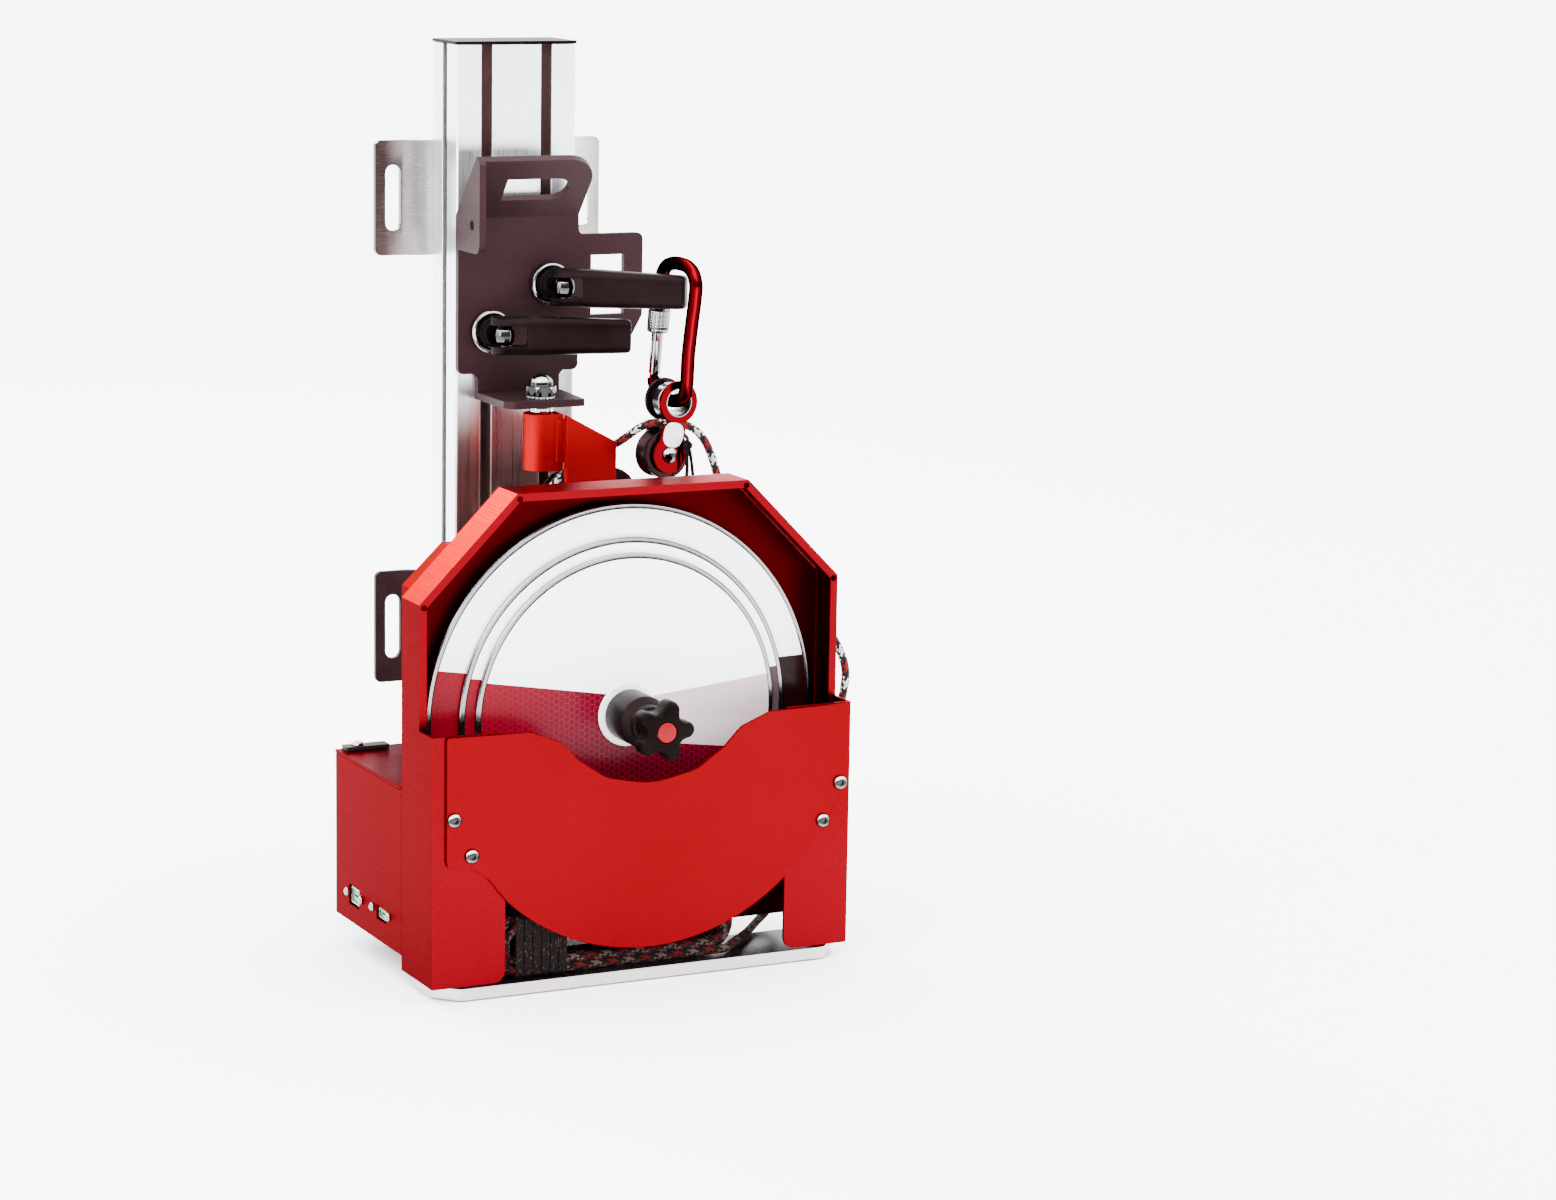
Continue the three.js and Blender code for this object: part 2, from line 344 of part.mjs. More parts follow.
// ---------------------------------------------------------------- housing
const H = GUARD;
const oct = (inset, bottomInset = inset) => {
  const k = inset * Math.tan(Math.PI / 8);
  return [[-H.hw + inset, H.bot + bottomInset], [H.hw - inset, H.bot + bottomInset], [H.hw - inset, H.chZ - k], [H.chX - k, H.top - inset], [-H.chX + k, H.top - inset], [-H.hw + inset, H.chZ - k]].map((p) => [p[0], p[1] + AXIS_Z]);
};
{
  // folded band, open at the bottom, with an inward lip above and two front flanges below
  const outer = shapeOf(oct(0, 0)), inner = shapeOf(oct(H.t, -5));
  let s = plateXZ(outer, H.front, H.back).subtract(plateXZ(inner, H.front - 1, H.back + 1));
  let lip = plateXZ(shapeOf(oct(0, 0)), H.front, H.front + H.t).subtract(plateXZ(shapeOf(oct(H.lip, -5)), H.front - 1, H.front + 3));
  s = s.add(lip);
  const low = plateXZ(outer, H.low, H.front + 1).subtract(plateXZ(inner, H.low - 1, H.front + 2)).intersect(box(-200, 200, H.low, H.back, AXIS_Z + H.bot, AXIS_Z + H.step));
  s = s.add(low);
  const col = (x0, x1, rIn) => {
    const zB = AXIS_Z + H.bot, zT = AXIS_Z + H.step;
    return plateXZ(rounded(x0 < 0 ? [[x0, zB], [x1, zB, 8], [x1, zT], [x0, zT]] : [[x0, zB, 8], [x1, zB], [x1, zT], [x0, zT]], 4), H.low, H.low + H.t);
  };
  s = s.add(col(-H.hw, -101.6)).add(col(105.3, H.hw));
  // relief notches where the lip turns the four upper corners
  for (const [x, z] of [[-H.hw, H.chZ], [-H.chX, H.top], [H.chX, H.top], [H.hw, H.chZ]]) s = s.subtract(cylY(x * 0.9785, AXIS_Z + z * 0.976, 2.1, H.front - 1, H.front + 2.4, 10));
  add("guard_shell", s, COL.red, 0.35, 0.6);

  const backPts = oct(H.t + GAP, 0).map((p) => [p[0], Math.max(p[1], -594)]);
  add("guard_back_plate", plateXZ(shapeOf(backPts, [circlePts(0, AXIS_Z, 17.4, 28)]), -176.2, -174.2), COL.red, 0.4, 0.6);

  // rear shell: five-sided cover behind the back plate, open towards it
  const rs = [[-105, -477], [105, -477], [105, -367.4], [75.5, -339], [-75.5, -339], [-105, -367.4]];
  const rin = [[-103, -475], [103, -475], [103, -368.3], [74.7, -341], [-74.7, -341], [-103, -368.3]];
  let r = plateXZ(shapeOf(rs), -171.9, -48.5).subtract(plateXZ(shapeOf(rin), -180, -50.5));
  r = r.subtract(cylZ(2.4, -55.2, 5.2, -345, -330, 16));
  add("rear_shell", r, COL.redDark, 0.4, 0.6);
}
{
  // front cover: arched top, round bottom
  const cx = 3.4, hw = 147.8, zt = AXIS_Z + 2;
  const arcR = 152, zc = AXIS_Z - 2;
  const top = [[-hw, 2.2, 2], [-88, 1.2, 12], [-66, -7.5, 10], [-53, -21, 18], [-33, -34.4, 24], [0, -41.2, 60], [33, -34.4, 24], [53, -21, 18], [66, -7.5, 10], [88, 1.2, 12], [hw, 2.2, 2]];
  const a0 = Math.asin(104 / arcR);
  const arc = circlePts(0, -2, arcR, 20, -Math.PI / 2 + a0, -Math.PI / 2 - a0, false);
  const bot = [[hw, -86, 5], [130, -87, 10], [118, -95.5, 8]];
  const pts = [...top, ...bot, ...arc.map((p) => [p[0], p[1], 0]), [-118, -95.5, 8], [-130, -87, 10], [-hw, -86, 5]].map((p) => [p[0] + cx, p[1] + AXIS_Z, p[2]]);
  const screws = [[-139, -53.3], [-126.6, -78.6], [145.4, -53.1], [132.7, -78.6]];
  const shape = rounded(pts.slice().reverse(), 4);
  for (const q of screws) shape.holes.push(holePath(circlePts(q[0], q[1] + AXIS_Z, 2.9, 12)));
  add("front_cover", plateXZ(shape, -228.9, -226.9), COL.red, 0.35, 0.6);
  screws.forEach((q, i) => {
    const x = q[0], z = q[1] + AXIS_Z, y = -229.2;
    add("cover_screw_" + (i + 1), turnedY(x, z, [[0, y - 2.9], [1.6, y - 2.8], [3.6, y - 1.9], [4.9, y - 0.4], [4.9, y], [2.5, y], [2.5, -226.75], [0, -226.75]], 18), COL.chrome, 0.15, 1.0);
  });
  const bp = rounded([[-149.5, -176, 3], [149.5, -176, 3], [149.5, -213, 10], [136, -228.6, 8], [-134, -228.6, 8], [-149.5, -213, 10]].reverse(), 4);
  add("base_plate", plateXY(bp, -614.1, -606.0), COL.alu, 0.35, 0.9);
}
{
  // electronics box behind the left side, with a separate lid and a board that carries two sockets
  const z0 = -595.4, z1 = -481.6;
  let s = box(-153.8, 60, -171.9, -48.5, z0, z1).subtract(box(-152, 58.2, -170.1, -50.3, z0 + 1.8, z1 + 5));
  s = s.subtract(box(-160, -150, -93, -74, -583, -569)).subtract(box(-160, -150, -143.4, -126, -580.6, -571.4));
  add("rear_box", s, COL.redDark, 0.4, 0.6);
  add("rear_box_lid", plateXY(rounded([[-154.3, -172, 1], [60.3, -172, 1], [60.3, -48, 1], [-154.3, -48, 1]], 2), z1 + GAP, z1 + GAP + 1.8), COL.redDark, 0.4, 0.6);
  add("port_board", join(box(-147.4, -145.8, -160, -62, -592, -560), box(-151.6, -147, -92, -75, -582, -570), box(-151.6, -147, -142.4, -127, -579.6, -572.4)), COL.board, 0.5, 0.0);
}

// ---------------------------------------------------------------- flywheel, shaft and spool
{
  const z = AXIS_Z;
  add("flywheel_shaft", turnedY(0, z, [[0, -252.6], [5.6, -252.6], [5.6, -236], [8, -236], [8, -182.4], [20, -182.4], [20, -178.2], [8, -178.2], [8, -54], [0, -54]], 28), COL.steel, 0.3, 1.0);
  const disc = (r, y0) => plateXZ(shapeOf(circlePts(0, z, r, 72), [circlePts(0, z, 8.3, 24)]), y0, y0 + DISC.t);
  add("large_disc", disc(DISC.large, DISC.front), COL.white, 0.3, 0.1);
  add("medium_disc", disc(DISC.medium, DISC.front - 4.3), COL.white, 0.3, 0.1);
  add("small_disc", disc(DISC.small, DISC.front - 8.6), COL.white, 0.3, 0.1);
  add("hub_ring", turnedY(0, z, [[8.3, -197.4], [20.5, -197.4], [20.5, -195.9], [8.3, -195.9], [8.3, -197.4]], 32), COL.white, 0.3, 0.2);
  add("hub", turnedY(0, z, [[8.3, -233.5], [11.4, -233.5], [12.6, -232.4], [13.4, -228.6], [17.2, -222.5], [17.6, -221], [17.6, -197.7], [8.3, -197.7], [8.3, -233.5]], 36), COL.black, 0.45, 0.2);
  add("rope_spool", turnedY(0, z, [[8.3, -148], [34, -148], [34, -145], [20, -144], [20, -96], [34, -95], [34, -92], [8.3, -92], [8.3, -148]], 32), COL.steel, 0.5, 0.6);
  add("main_bearing", turnedY(0, z, [[8.3, -177.4], [17.1, -177.4], [17.1, -166], [8.3, -166], [8.3, -177.4]], 28), COL.steel, 0.3, 1.0);
  // star knob with a round cap
  const lobes = [];
  const N = 60;
  for (let i = 0; i < N; i++) {
    const t = (i / N) * 2 * Math.PI;
    const r = 17.6 + 3.6 * Math.cos(5 * (t - Math.PI / 2 + 0.28));
    lobes.push([r * Math.cos(t), z + r * Math.sin(t)]);
  }
  let k = plateXZ(shapeOf(lobes), -259, -243.5).add(cylY(0, z, 11.4, -244.5, -236.5, 28));
  k = k.subtract(cylY(0, z, 6.0, -252.9, -230, 24)).subtract(cylY(0, z, 7.2, -260, -258.2, 24));
  add("star_knob", k, COL.black, 0.45, 0.0);
  add("knob_cap", turnedY(0, z, [[0, -260.0], [4.5, -259.8], [6.9, -259.0], [6.9, -257.9 - 0.3 + 0.3 - 0.3], [0, -258.5]], 24), COL.red, 0.4, 0.0);
}

// ---------------------------------------------------------------- rope
// up from the rear shell, over the guide wheel, through the small pulley and down behind the guard
const LOOP = [[1.6, -54.6, -338.4], [1.6, -54, -328], [1.7, -53.7, -317], [3.1, -53.7, -308.8], [7.2, -53.7, -301.6], [14.2, -53.7, -295.9], [27, -53.7, -289.3], [40, -53.9, -282.4], [47, -54.6, -278.6], [53.4, -57.4, -275.2], [58.6, -63.8, -269.6], [64.4, -71.4, -262.8], [70.6, -77, -259.2], [78, -79.6, -259.2], [86, -79.8, -259.6], [96.5, -79.3, -261.6], [106, -79.3, -267.4], [113, -79.8, -277], [117.6, -81.4, -290], [119.8, -85, -302], [122.4, -91, -316], [126, -99, -331]];
// along the right side of the housing and in over the base plate
const SIDE = [[126.2, -99.4, -331.8], [133, -114, -351], [145, -134, -371], [162, -151, -389], [175, -160, -406], [182, -163, -424], [182.6, -162, -440], [179, -158, -462], [174, -152, -492], [168, -147, -524], [158, -146, -554], [145, -150, -578], [129, -158, -594.5], [112, -170, -601.2], [97, -186, -602.6], [84, -198.5, -602.6], [76.6, -205.5, -602.6]];
add("rope_loop", tube(LOOP, ROPE_R, 8, 46), COL.rope, 0.85, 0.0);
add("rope_side", tube(SIDE, ROPE_R, 8, 50), COL.rope, 0.85, 0.0);
{
  // hank of spare rope lying on the base plate behind the front cover
  const zc = -584.2, r = 21.2;
  add("rope_hank", plateXZ(shapeOf(stadiumPts(-86, zc, 52, zc, r, 8)), -221.5, -197.2), COL.rope, 0.85, 0.0);
}

export default root;
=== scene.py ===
import bpy
import bmesh
import json
import math
import random
from mathutils import Matrix, Quaternion, Vector

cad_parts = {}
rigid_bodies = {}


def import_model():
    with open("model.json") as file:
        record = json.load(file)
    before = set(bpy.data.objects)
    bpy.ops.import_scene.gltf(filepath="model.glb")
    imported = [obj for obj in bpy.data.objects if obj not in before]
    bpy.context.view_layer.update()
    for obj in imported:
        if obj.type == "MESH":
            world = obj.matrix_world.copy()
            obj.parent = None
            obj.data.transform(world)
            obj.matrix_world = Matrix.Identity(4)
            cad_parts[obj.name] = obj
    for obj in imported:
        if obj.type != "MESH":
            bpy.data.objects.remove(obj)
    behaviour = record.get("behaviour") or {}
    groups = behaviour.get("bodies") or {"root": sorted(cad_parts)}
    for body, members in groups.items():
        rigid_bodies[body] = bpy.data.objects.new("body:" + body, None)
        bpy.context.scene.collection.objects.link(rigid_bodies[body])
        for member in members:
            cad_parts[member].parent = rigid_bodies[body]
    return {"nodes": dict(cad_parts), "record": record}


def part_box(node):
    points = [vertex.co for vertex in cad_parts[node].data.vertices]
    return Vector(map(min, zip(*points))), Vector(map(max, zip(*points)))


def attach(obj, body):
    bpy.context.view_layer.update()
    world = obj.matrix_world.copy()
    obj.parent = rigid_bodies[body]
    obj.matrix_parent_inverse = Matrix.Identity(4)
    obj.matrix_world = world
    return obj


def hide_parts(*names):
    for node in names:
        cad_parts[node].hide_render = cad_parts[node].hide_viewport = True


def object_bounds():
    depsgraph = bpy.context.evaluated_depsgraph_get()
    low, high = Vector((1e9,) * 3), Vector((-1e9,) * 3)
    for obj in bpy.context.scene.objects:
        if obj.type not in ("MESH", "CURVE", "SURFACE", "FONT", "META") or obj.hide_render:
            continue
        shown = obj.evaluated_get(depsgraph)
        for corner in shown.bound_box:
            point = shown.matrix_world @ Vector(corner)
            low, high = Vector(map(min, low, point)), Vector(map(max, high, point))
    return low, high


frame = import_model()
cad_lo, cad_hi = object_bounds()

NODES = frame["nodes"]
BODY_OF = {n: b for b, ns in frame["record"]["behaviour"]["bodies"].items() for n in ns}
ORIGIN_X, WALL_Y, ORIGIN_Z = -82.2, 54.3, -109.5   # left wing, wall plane and bracket height, in rail millimetres
AXIS_Z = -437.5                    # flywheel axis
scene = bpy.context.scene


def P(x, y, z):
    """Rail millimetres to the row frame in metres."""
    return Vector(((x - ORIGIN_X) / 1000.0, (y - WALL_Y) / 1000.0, (z - ORIGIN_Z) / 1000.0))


# ------------------------------------------------------------------ camera
cam = bpy.data.cameras.new("camera")
cam.sensor_fit = "HORIZONTAL"
cam.sensor_width = 36.0
cam.lens = 36.0 * 4087.05 / 1556.0
cam_ob = bpy.data.objects.new("camera", cam)
scene.collection.objects.link(cam_ob)
yaw, pitch, roll = (math.radians(a) for a in (26.856, 10.710, 1.017))
f0 = Vector((math.sin(yaw), math.cos(yaw), 0))
rt = Vector((math.cos(yaw), -math.sin(yaw), 0))
fwd = f0 * math.cos(pitch) - Vector((0, 0, 1)) * math.sin(pitch)
upv = Vector((0, 0, 1)) * math.cos(pitch) + f0 * math.sin(pitch)
r2 = rt * math.cos(roll) + upv * math.sin(roll)
u2 = -rt * math.sin(roll) + upv * math.cos(roll)
m = Matrix((r2, u2, -fwd)).transposed().to_4x4()
m.translation = P(-1127.29, -2643.55, 151.90)
cam_ob.matrix_world = m
scene.camera = cam_ob


# ------------------------------------------------------------------ materials
class Tree:
    """A small builder for node materials; coordinates are object space, which is the row frame at rest."""

    def __init__(self, name, **sockets):
        self.mat = bpy.data.materials.new(name)
        self.mat.use_nodes = True
        self.t = self.mat.node_tree
        self.b = self.t.nodes["Principled BSDF"]
        self.co = self.t.nodes.new("ShaderNodeTexCoord").outputs["Object"]
        for k, v in sockets.items():
            self.b.inputs[k.replace("_", " ")].default_value = v

    def n(self, kind, **kw):
        node = self.t.nodes.new(kind)
        for k, v in kw.items():
            setattr(node, k, v)
        return node

    def link(self, a, b):
        self.t.links.new(a, b)

    def scaled(self, sx, sy, sz, rot=(0, 0, 0)):
        mp = self.n("ShaderNodeMapping")
        mp.inputs["Scale"].default_value = (sx, sy, sz)
        mp.inputs["Rotation"].default_value = rot
        self.link(self.co, mp.inputs["Vector"])
        return mp.outputs["Vector"]

    def noise(self, scale, detail=4, rough=0.6, vec=None):
        nd = self.n("ShaderNodeTexNoise")
        nd.inputs["Scale"].default_value = scale
        nd.inputs["Detail"].default_value = detail
        nd.inputs["Roughness"].default_value = rough
        self.link(vec if vec is not None else self.co, nd.inputs["Vector"])
        return nd.outputs["Fac"]

    def ramp(self, fac, stops):
        r = self.n("ShaderNodeValToRGB")
        while len(r.color_ramp.elements) < len(stops):
            r.color_ramp.elements.new(0.5)
        for e, (p, c) in zip(r.color_ramp.elements, stops):
            e.position = p
            e.color = (*c, 1) if len(c) == 3 else c
        self.link(fac, r.inputs["Fac"])
        return r.outputs["Color"]

    def rng(self, fac, lo, hi, a=0.0, b=1.0):
        mr = self.n("ShaderNodeMapRange")
        for k, v in (("From Min", a), ("From Max", b), ("To Min", lo), ("To Max", hi)):
            mr.inputs[k].default_value = v
        self.link(fac, mr.inputs["Value"])
        return mr.outputs["Result"]

    def math(self, op, a, b=None, c=None):
        nd = self.n("ShaderNodeMath", operation=op)
        for i, v in enumerate((a, b, c)):
            if v is None:
                continue
            if isinstance(v, (int, float)):
                nd.inputs[i].default_value = v
            else:
                self.link(v, nd.inputs[i])
        return nd.outputs[0]

    def mix(self, fac, a, b):
        nd = self.n("ShaderNodeMix", data_type="RGBA")
        for sock, v in ((nd.inputs[0], fac), (nd.inputs[6], a), (nd.inputs[7], b)):
            if isinstance(v, (int, float)):
                sock.default_value = v
            elif isinstance(v, tuple):
                sock.default_value = (*v, 1) if len(v) == 3 else v
            else:
                self.link(v, sock)
        return nd.outputs[2]

    def xyz(self, vec=None):
        s = self.n("ShaderNodeSeparateXYZ")
        self.link(vec if vec is not None else self.co, s.inputs[0])
        return s.outputs

    def color(self, c):
        self.link(c, self.b.inputs["Base Color"])

    def rough(self, r):
        self.link(r, self.b.inputs["Roughness"])

    def bump(self, height, strength=0.2, dist=0.0002, chain=None):
        bp = self.n("ShaderNodeBump")
        bp.inputs["Strength"].default_value = strength
        bp.inputs["Distance"].default_value = dist
        self.link(height, bp.inputs["Height"])
        if chain is not None:
            self.link(chain, bp.inputs["Normal"])
        self.link(bp.outputs["Normal"], self.b.inputs["Normal"])
        return bp.outputs["Normal"]


def make_red(name, base, dark, light, rough=0.36, metal=0.75, grain="h", edge=(1.0, 0.06, 0.09)):
    t = Tree(name, Metallic=metal)
    t.b.inputs["Specular IOR Level"].default_value = 0.5
    t.b.inputs["Specular Tint"].default_value = (*edge, 1)
    g = t.noise(1.0, 5, 0.65, t.scaled(14, 14, 2600) if grain == "h" else t.scaled(2200, 2200, 14))
    fine = t.noise(1.0, 3, 0.7, t.scaled(900, 900, 5200) if grain == "h" else t.scaled(4200, 4200, 900))
    cloud = t.noise(9.0, 3, 0.5)
    mixv = t.math("ADD", t.math("MULTIPLY", g, 0.6), t.math("MULTIPLY", cloud, 0.4))
    t.color(t.ramp(mixv, [(0.30, dark), (0.5, base), (0.74, light)]))
    t.rough(t.rng(g, rough - 0.07, rough + 0.09, 0.3, 0.7))
    t.bump(fine, 0.025, 0.00005)
    return t.mat


MAT = {}
MAT["red"] = make_red("red_anodised", (0.100, 0.0001, 0.0026), (0.092, 0.0001, 0.0022), (0.110, 0.0002, 0.0030), 0.36, 1.0)
MAT["red_band"] = make_red("red_anodised_band", (0.094, 0.0003, 0.0030), (0.084, 0.0002, 0.0026), (0.106, 0.0005, 0.0036), 0.30, 1.0, edge=(0.9, 0.42, 0.44))
# a brighter copy of the red for the swivel arm: painted light, standing in for the light its face catches
MAT["red_arm"] = make_red("red_anodised_arm_painted_light", (0.210, 0.0001, 0.0030), (0.185, 0.0001, 0.0026), (0.240, 0.0002, 0.0038), 0.46, 0.8, edge=(1.0, 0.10, 0.12))
# darker copy of the red: painted shade on the rear housing and on the guard's faces turned to -X
MAT["red_painted_shade_darker"] = make_red("red_anodised_darker_painted_shade", (0.054, 0.0008, 0.0028), (0.046, 0.0006, 0.0024), (0.062, 0.0011, 0.0034), 0.34, 1.0, edge=(0.58, 0.42, 0.44))
MAT["red_arm"].node_tree.nodes["Principled BSDF"].inputs["Specular IOR Level"].default_value = 0.05
# darkest copy of the red: painted shade for the guard's inner face and the back plate
MAT["red_painted_shade_inner"] = make_red("red_anodised_inner_painted_shade", (0.024, 0.0001, 0.0008), (0.020, 0.0001, 0.0006), (0.030, 0.0002, 0.0010), 0.40, 1.0)
MAT["red_gloss"] = make_red("red_anodised_gloss", (0.062, 0.0003, 0.0020), (0.054, 0.0003, 0.0016), (0.072, 0.0005, 0.0026), 0.13, 1.0, "v", edge=(1.0, 0.30, 0.34))


def make_powder():
    t = Tree("powder_dark", Metallic=0.0)
    t.b.inputs["Specular IOR Level"].default_value = 0.11
    t.b.inputs["Specular Tint"].default_value = (1.0, 0.62, 0.66, 1)
    n = t.noise(1500.0, 3, 0.6)
    speck = t.noise(3200.0, 2, 0.5)
    c = t.noise(14.0, 3, 0.5)
    base = t.ramp(c, [(0.3, (0.0088, 0.0032, 0.0040)), (0.7, (0.0130, 0.0050, 0.0062))])
    t.color(t.mix(t.rng(speck, 0.0, 0.55, 0.64, 0.78), base, (0.045, 0.028, 0.032)))
    t.rough(t.rng(n, 0.42, 0.62, 0.3, 0.7))
    n1 = t.bump(n, 0.55, 0.00025)
    t.bump(speck, 0.3, 0.0001, n1)
    return t.mat


MAT["powder"] = make_powder()


def make_black(name, base, rough, bump_scale=2400.0, bump=0.12, metal=0.0, spec=0.12):
    t = Tree(name, Metallic=metal)
    t.b.inputs["Specular IOR Level"].default_value = spec
    t.b.inputs["Specular Tint"].default_value = (1.0, 0.50, 0.54, 1)
    n = t.noise(bump_scale, 3, 0.6)
    c = t.noise(22.0, 4, 0.55)
    lo = tuple(v * 0.8 for v in base)
    hi = tuple(v * 1.35 + 0.002 for v in base)
    t.color(t.ramp(c, [(0.3, lo), (0.7, hi)]))
    t.rough(t.rng(n, rough - 0.05, rough + 0.08, 0.3, 0.7))
    t.bump(n, bump, 0.0001)
    return t.mat


MAT["black_satin"] = make_black("black_satin_lever", (0.0010, 0.0003, 0.0004), 0.34, spec=0.050)
MAT["black_plastic"] = make_black("black_moulded", (0.0006, 0.0002, 0.0002), 0.36, 1800, 0.25, spec=0.026)
MAT["black_metal"] = make_black("black_coated_metal", (0.0024, 0.0010, 0.0013), 0.36, 1600, 0.2, spec=0.07)
MAT["black_gloss"] = make_black("black_anodised", (0.0010, 0.0004, 0.0005), 0.20, 3000, 0.05, spec=0.12)
MAT["black_bracket"] = make_black("black_bracket", (0.0100, 0.0040, 0.0048), 0.5, 1500, 0.5, spec=0.11)
MAT["slot_shadow"] = make_black("slot_shadow_brown", (0.040, 0.020, 0.019), 0.5, 900, 0.2, 0.6, spec=0.2)


def make_metal(name, base, rough, grain=(1, 1, 1), amount=0.10, bump=0.05, var=0.06):
    t = Tree(name, Metallic=1.0)
    g = t.noise(1.0, 5, 0.6, t.scaled(*grain))
    c = t.noise(26.0, 3, 0.5)
    k = t.math("ADD", t.math("MULTIPLY", g, 0.6), t.math("MULTIPLY", c, 0.4))
    lo = tuple(max(0.0, v - var) for v in base)
    hi = tuple(min(1.0, v + var) for v in base)
    t.color(t.ramp(k, [(0.3, lo), (0.7, hi)]))
    t.rough(t.rng(g, max(0.02, rough - amount / 2), rough + amount / 2, 0.3, 0.7))
    t.bump(g, bump, 0.00008)
    return t.mat


MAT["chrome"] = make_metal("chrome", (0.30, 0.285, 0.29), 0.06, (300, 300, 300), 0.04, 0.02, 0.03)
MAT["steel"] = make_metal("steel", (0.19, 0.18, 0.183), 0.22, (900, 900, 900), 0.12, 0.06, 0.05)
MAT["stainless"] = make_metal("stainless_brushed", (0.36, 0.33, 0.335), 0.22, (60, 60, 3000), 0.14, 0.10, 0.10)
MAT["base_edge"] = make_metal("base_edge_silver", (0.50, 0.46, 0.465), 0.34, (700, 700, 700), 0.12, 0.05, 0.05)


def make_rail():
    """Anodised extrusion, finely drawn along its length; the lower front face carries a painted reflection of the red
    arm before it, a warm brown tint mixed into the colour.
    """
    t = Tree("rail_anodised", Metallic=1.0)
    x, y, z = t.xyz(t.co)
    g = t.noise(1.0, 4, 0.6, t.scaled(1500, 1500, 5))
    c = t.noise(16.0, 3, 0.5)
    k = t.math("ADD", t.math("MULTIPLY", g, 0.5), t.math("MULTIPLY", c, 0.5))
    base = t.ramp(k, [(0.3, (0.70, 0.76, 0.79)), (0.7, (0.80, 0.86, 0.88))])
    # painted reflection of the red arm: a warm tint masked to the lower front face
    front = t.rng(y, 1.0, 0.0, P(0, 0, 0)[1] + 0.0006, P(0, 0, 0)[1] + 0.0030)
    low = t.rng(z, 1.0, 0.0, P(0, 0, -300)[2], P(0, 0, -215)[2])
    painted_arm_reflection = t.ramp(t.noise(1.0, 3, 0.5, t.scaled(120, 1, 9)), [(0.3, (0.24, 0.094, 0.080)), (0.7, (0.42, 0.20, 0.175))])
    t.color(t.mix(t.math("MULTIPLY", t.math("MULTIPLY", front, low), 0.92), base, painted_arm_reflection))
    t.rough(t.rng(g, 0.25, 0.36, 0.3, 0.7))
    t.bump(g, 0.015, 0.00006)
    return t.mat


MAT["rail"] = make_rail()


def make_painted_reflection_bands(name, axis, stops, rough=0.10, tint=(1, 1, 1)):
    """Polished round metal with painted reflections: light and dark bands, keyed to the way the surface faces, are
    painted into the colour.
    """
    t = Tree(name, Metallic=1.0)
    nrm = t.n("ShaderNodeTexCoord").outputs["Normal"]
    v = t.math("ADD", t.xyz(nrm)[axis], t.math("MULTIPLY", t.math("SUBTRACT", t.noise(90.0, 2, 0.5), 0.5), 0.12))
    col = t.ramp(t.rng(v, 0.0, 1.0, -1.0, 1.0), [(p_, tuple(c_ * q_ for q_ in tint)) for p_, c_ in stops])
    t.color(col)
    t.rough(t.rng(t.noise(700.0, 3, 0.6), rough - 0.03, rough + 0.05, 0.3, 0.7))
    t.b.inputs["Specular Tint"].default_value = (*(tint if tint != (1, 1, 1) else (0.6, 0.6, 0.6)), 1)
    return t.mat


# painted reflection bands for the chrome pieces, keyed to the normal's Z and X
MAT["chrome_z"] = make_painted_reflection_bands("chrome_painted_reflection_bands", 2, [(0.0, 0.05), (0.30, 0.16), (0.44, 0.015), (0.56, 0.03), (0.66, 0.34), (0.80, 0.42), (0.92, 0.12), (1.0, 0.40)], 0.08)
MAT["chrome_x"] = make_painted_reflection_bands("chrome_painted_reflection_bands_upright", 0, [(0.0, 0.05), (0.12, 0.30), (0.22, 0.030), (0.32, 0.36), (0.46, 0.16), (0.56, 0.020), (0.68, 0.26), (1.0, 0.06)], 0.10)
# carabiner red with a painted highlight streak along the middle and painted shade towards its edges
MAT["red_carabiner"] = make_painted_reflection_bands("red_anodised_carabiner_painted_highlight", 0, [(0.0, 0.25), (0.14, 0.45), (0.28, 1.6), (0.36, 3.4), (0.44, 1.2), (0.60, 0.45), (0.78, 0.25), (1.0, 0.7)], 0.14, (0.044, 0.0002, 0.0016))
MAT["slot_painted_shade_grey"] = make_metal("slot_painted_shade_grey", (0.20, 0.17, 0.17), 0.4, (900, 900, 6), 0.1, 0.05, 0.04)


def make_wing():
    """Brushed stainless with a painted sheen: the colour runs from dark at the left edge to bright across the folded
    bracket, a painted reflection.
    """
    t = Tree("stainless_wing", Metallic=1.0)
    x, y, z = t.xyz(t.co)
    g = t.noise(1.0, 5, 0.6, t.scaled(50, 50, 2600))
    c = t.noise(34.0, 3, 0.5)
    # painted sheen: dark at the left edge and bright across the middle, standing in for reflected light
    painted_sheen = t.ramp(t.math("ADD", t.rng(x, 0.0, 1.0, -0.006, 0.175), t.math("MULTIPLY", t.math("SUBTRACT", c, 0.5), 0.10)),
                   [(0.0, (0.008, 0.004, 0.004)), (0.045, (0.022, 0.012, 0.012)), (0.085, (0.090, 0.066, 0.066)), (0.17, (0.22, 0.20, 0.20)), (0.30, (0.46, 0.44, 0.44)), (0.86, (0.50, 0.48, 0.48)), (1.0, (0.16, 0.13, 0.13))])
    t.color(t.mix(t.rng(g, 0.0, 0.35, 0.3, 0.7), painted_sheen, (0.12, 0.09, 0.09)))
    t.rough(t.rng(g, 0.18, 0.34, 0.3, 0.7))
    t.bump(g, 0.10, 0.00008)
    return t.mat


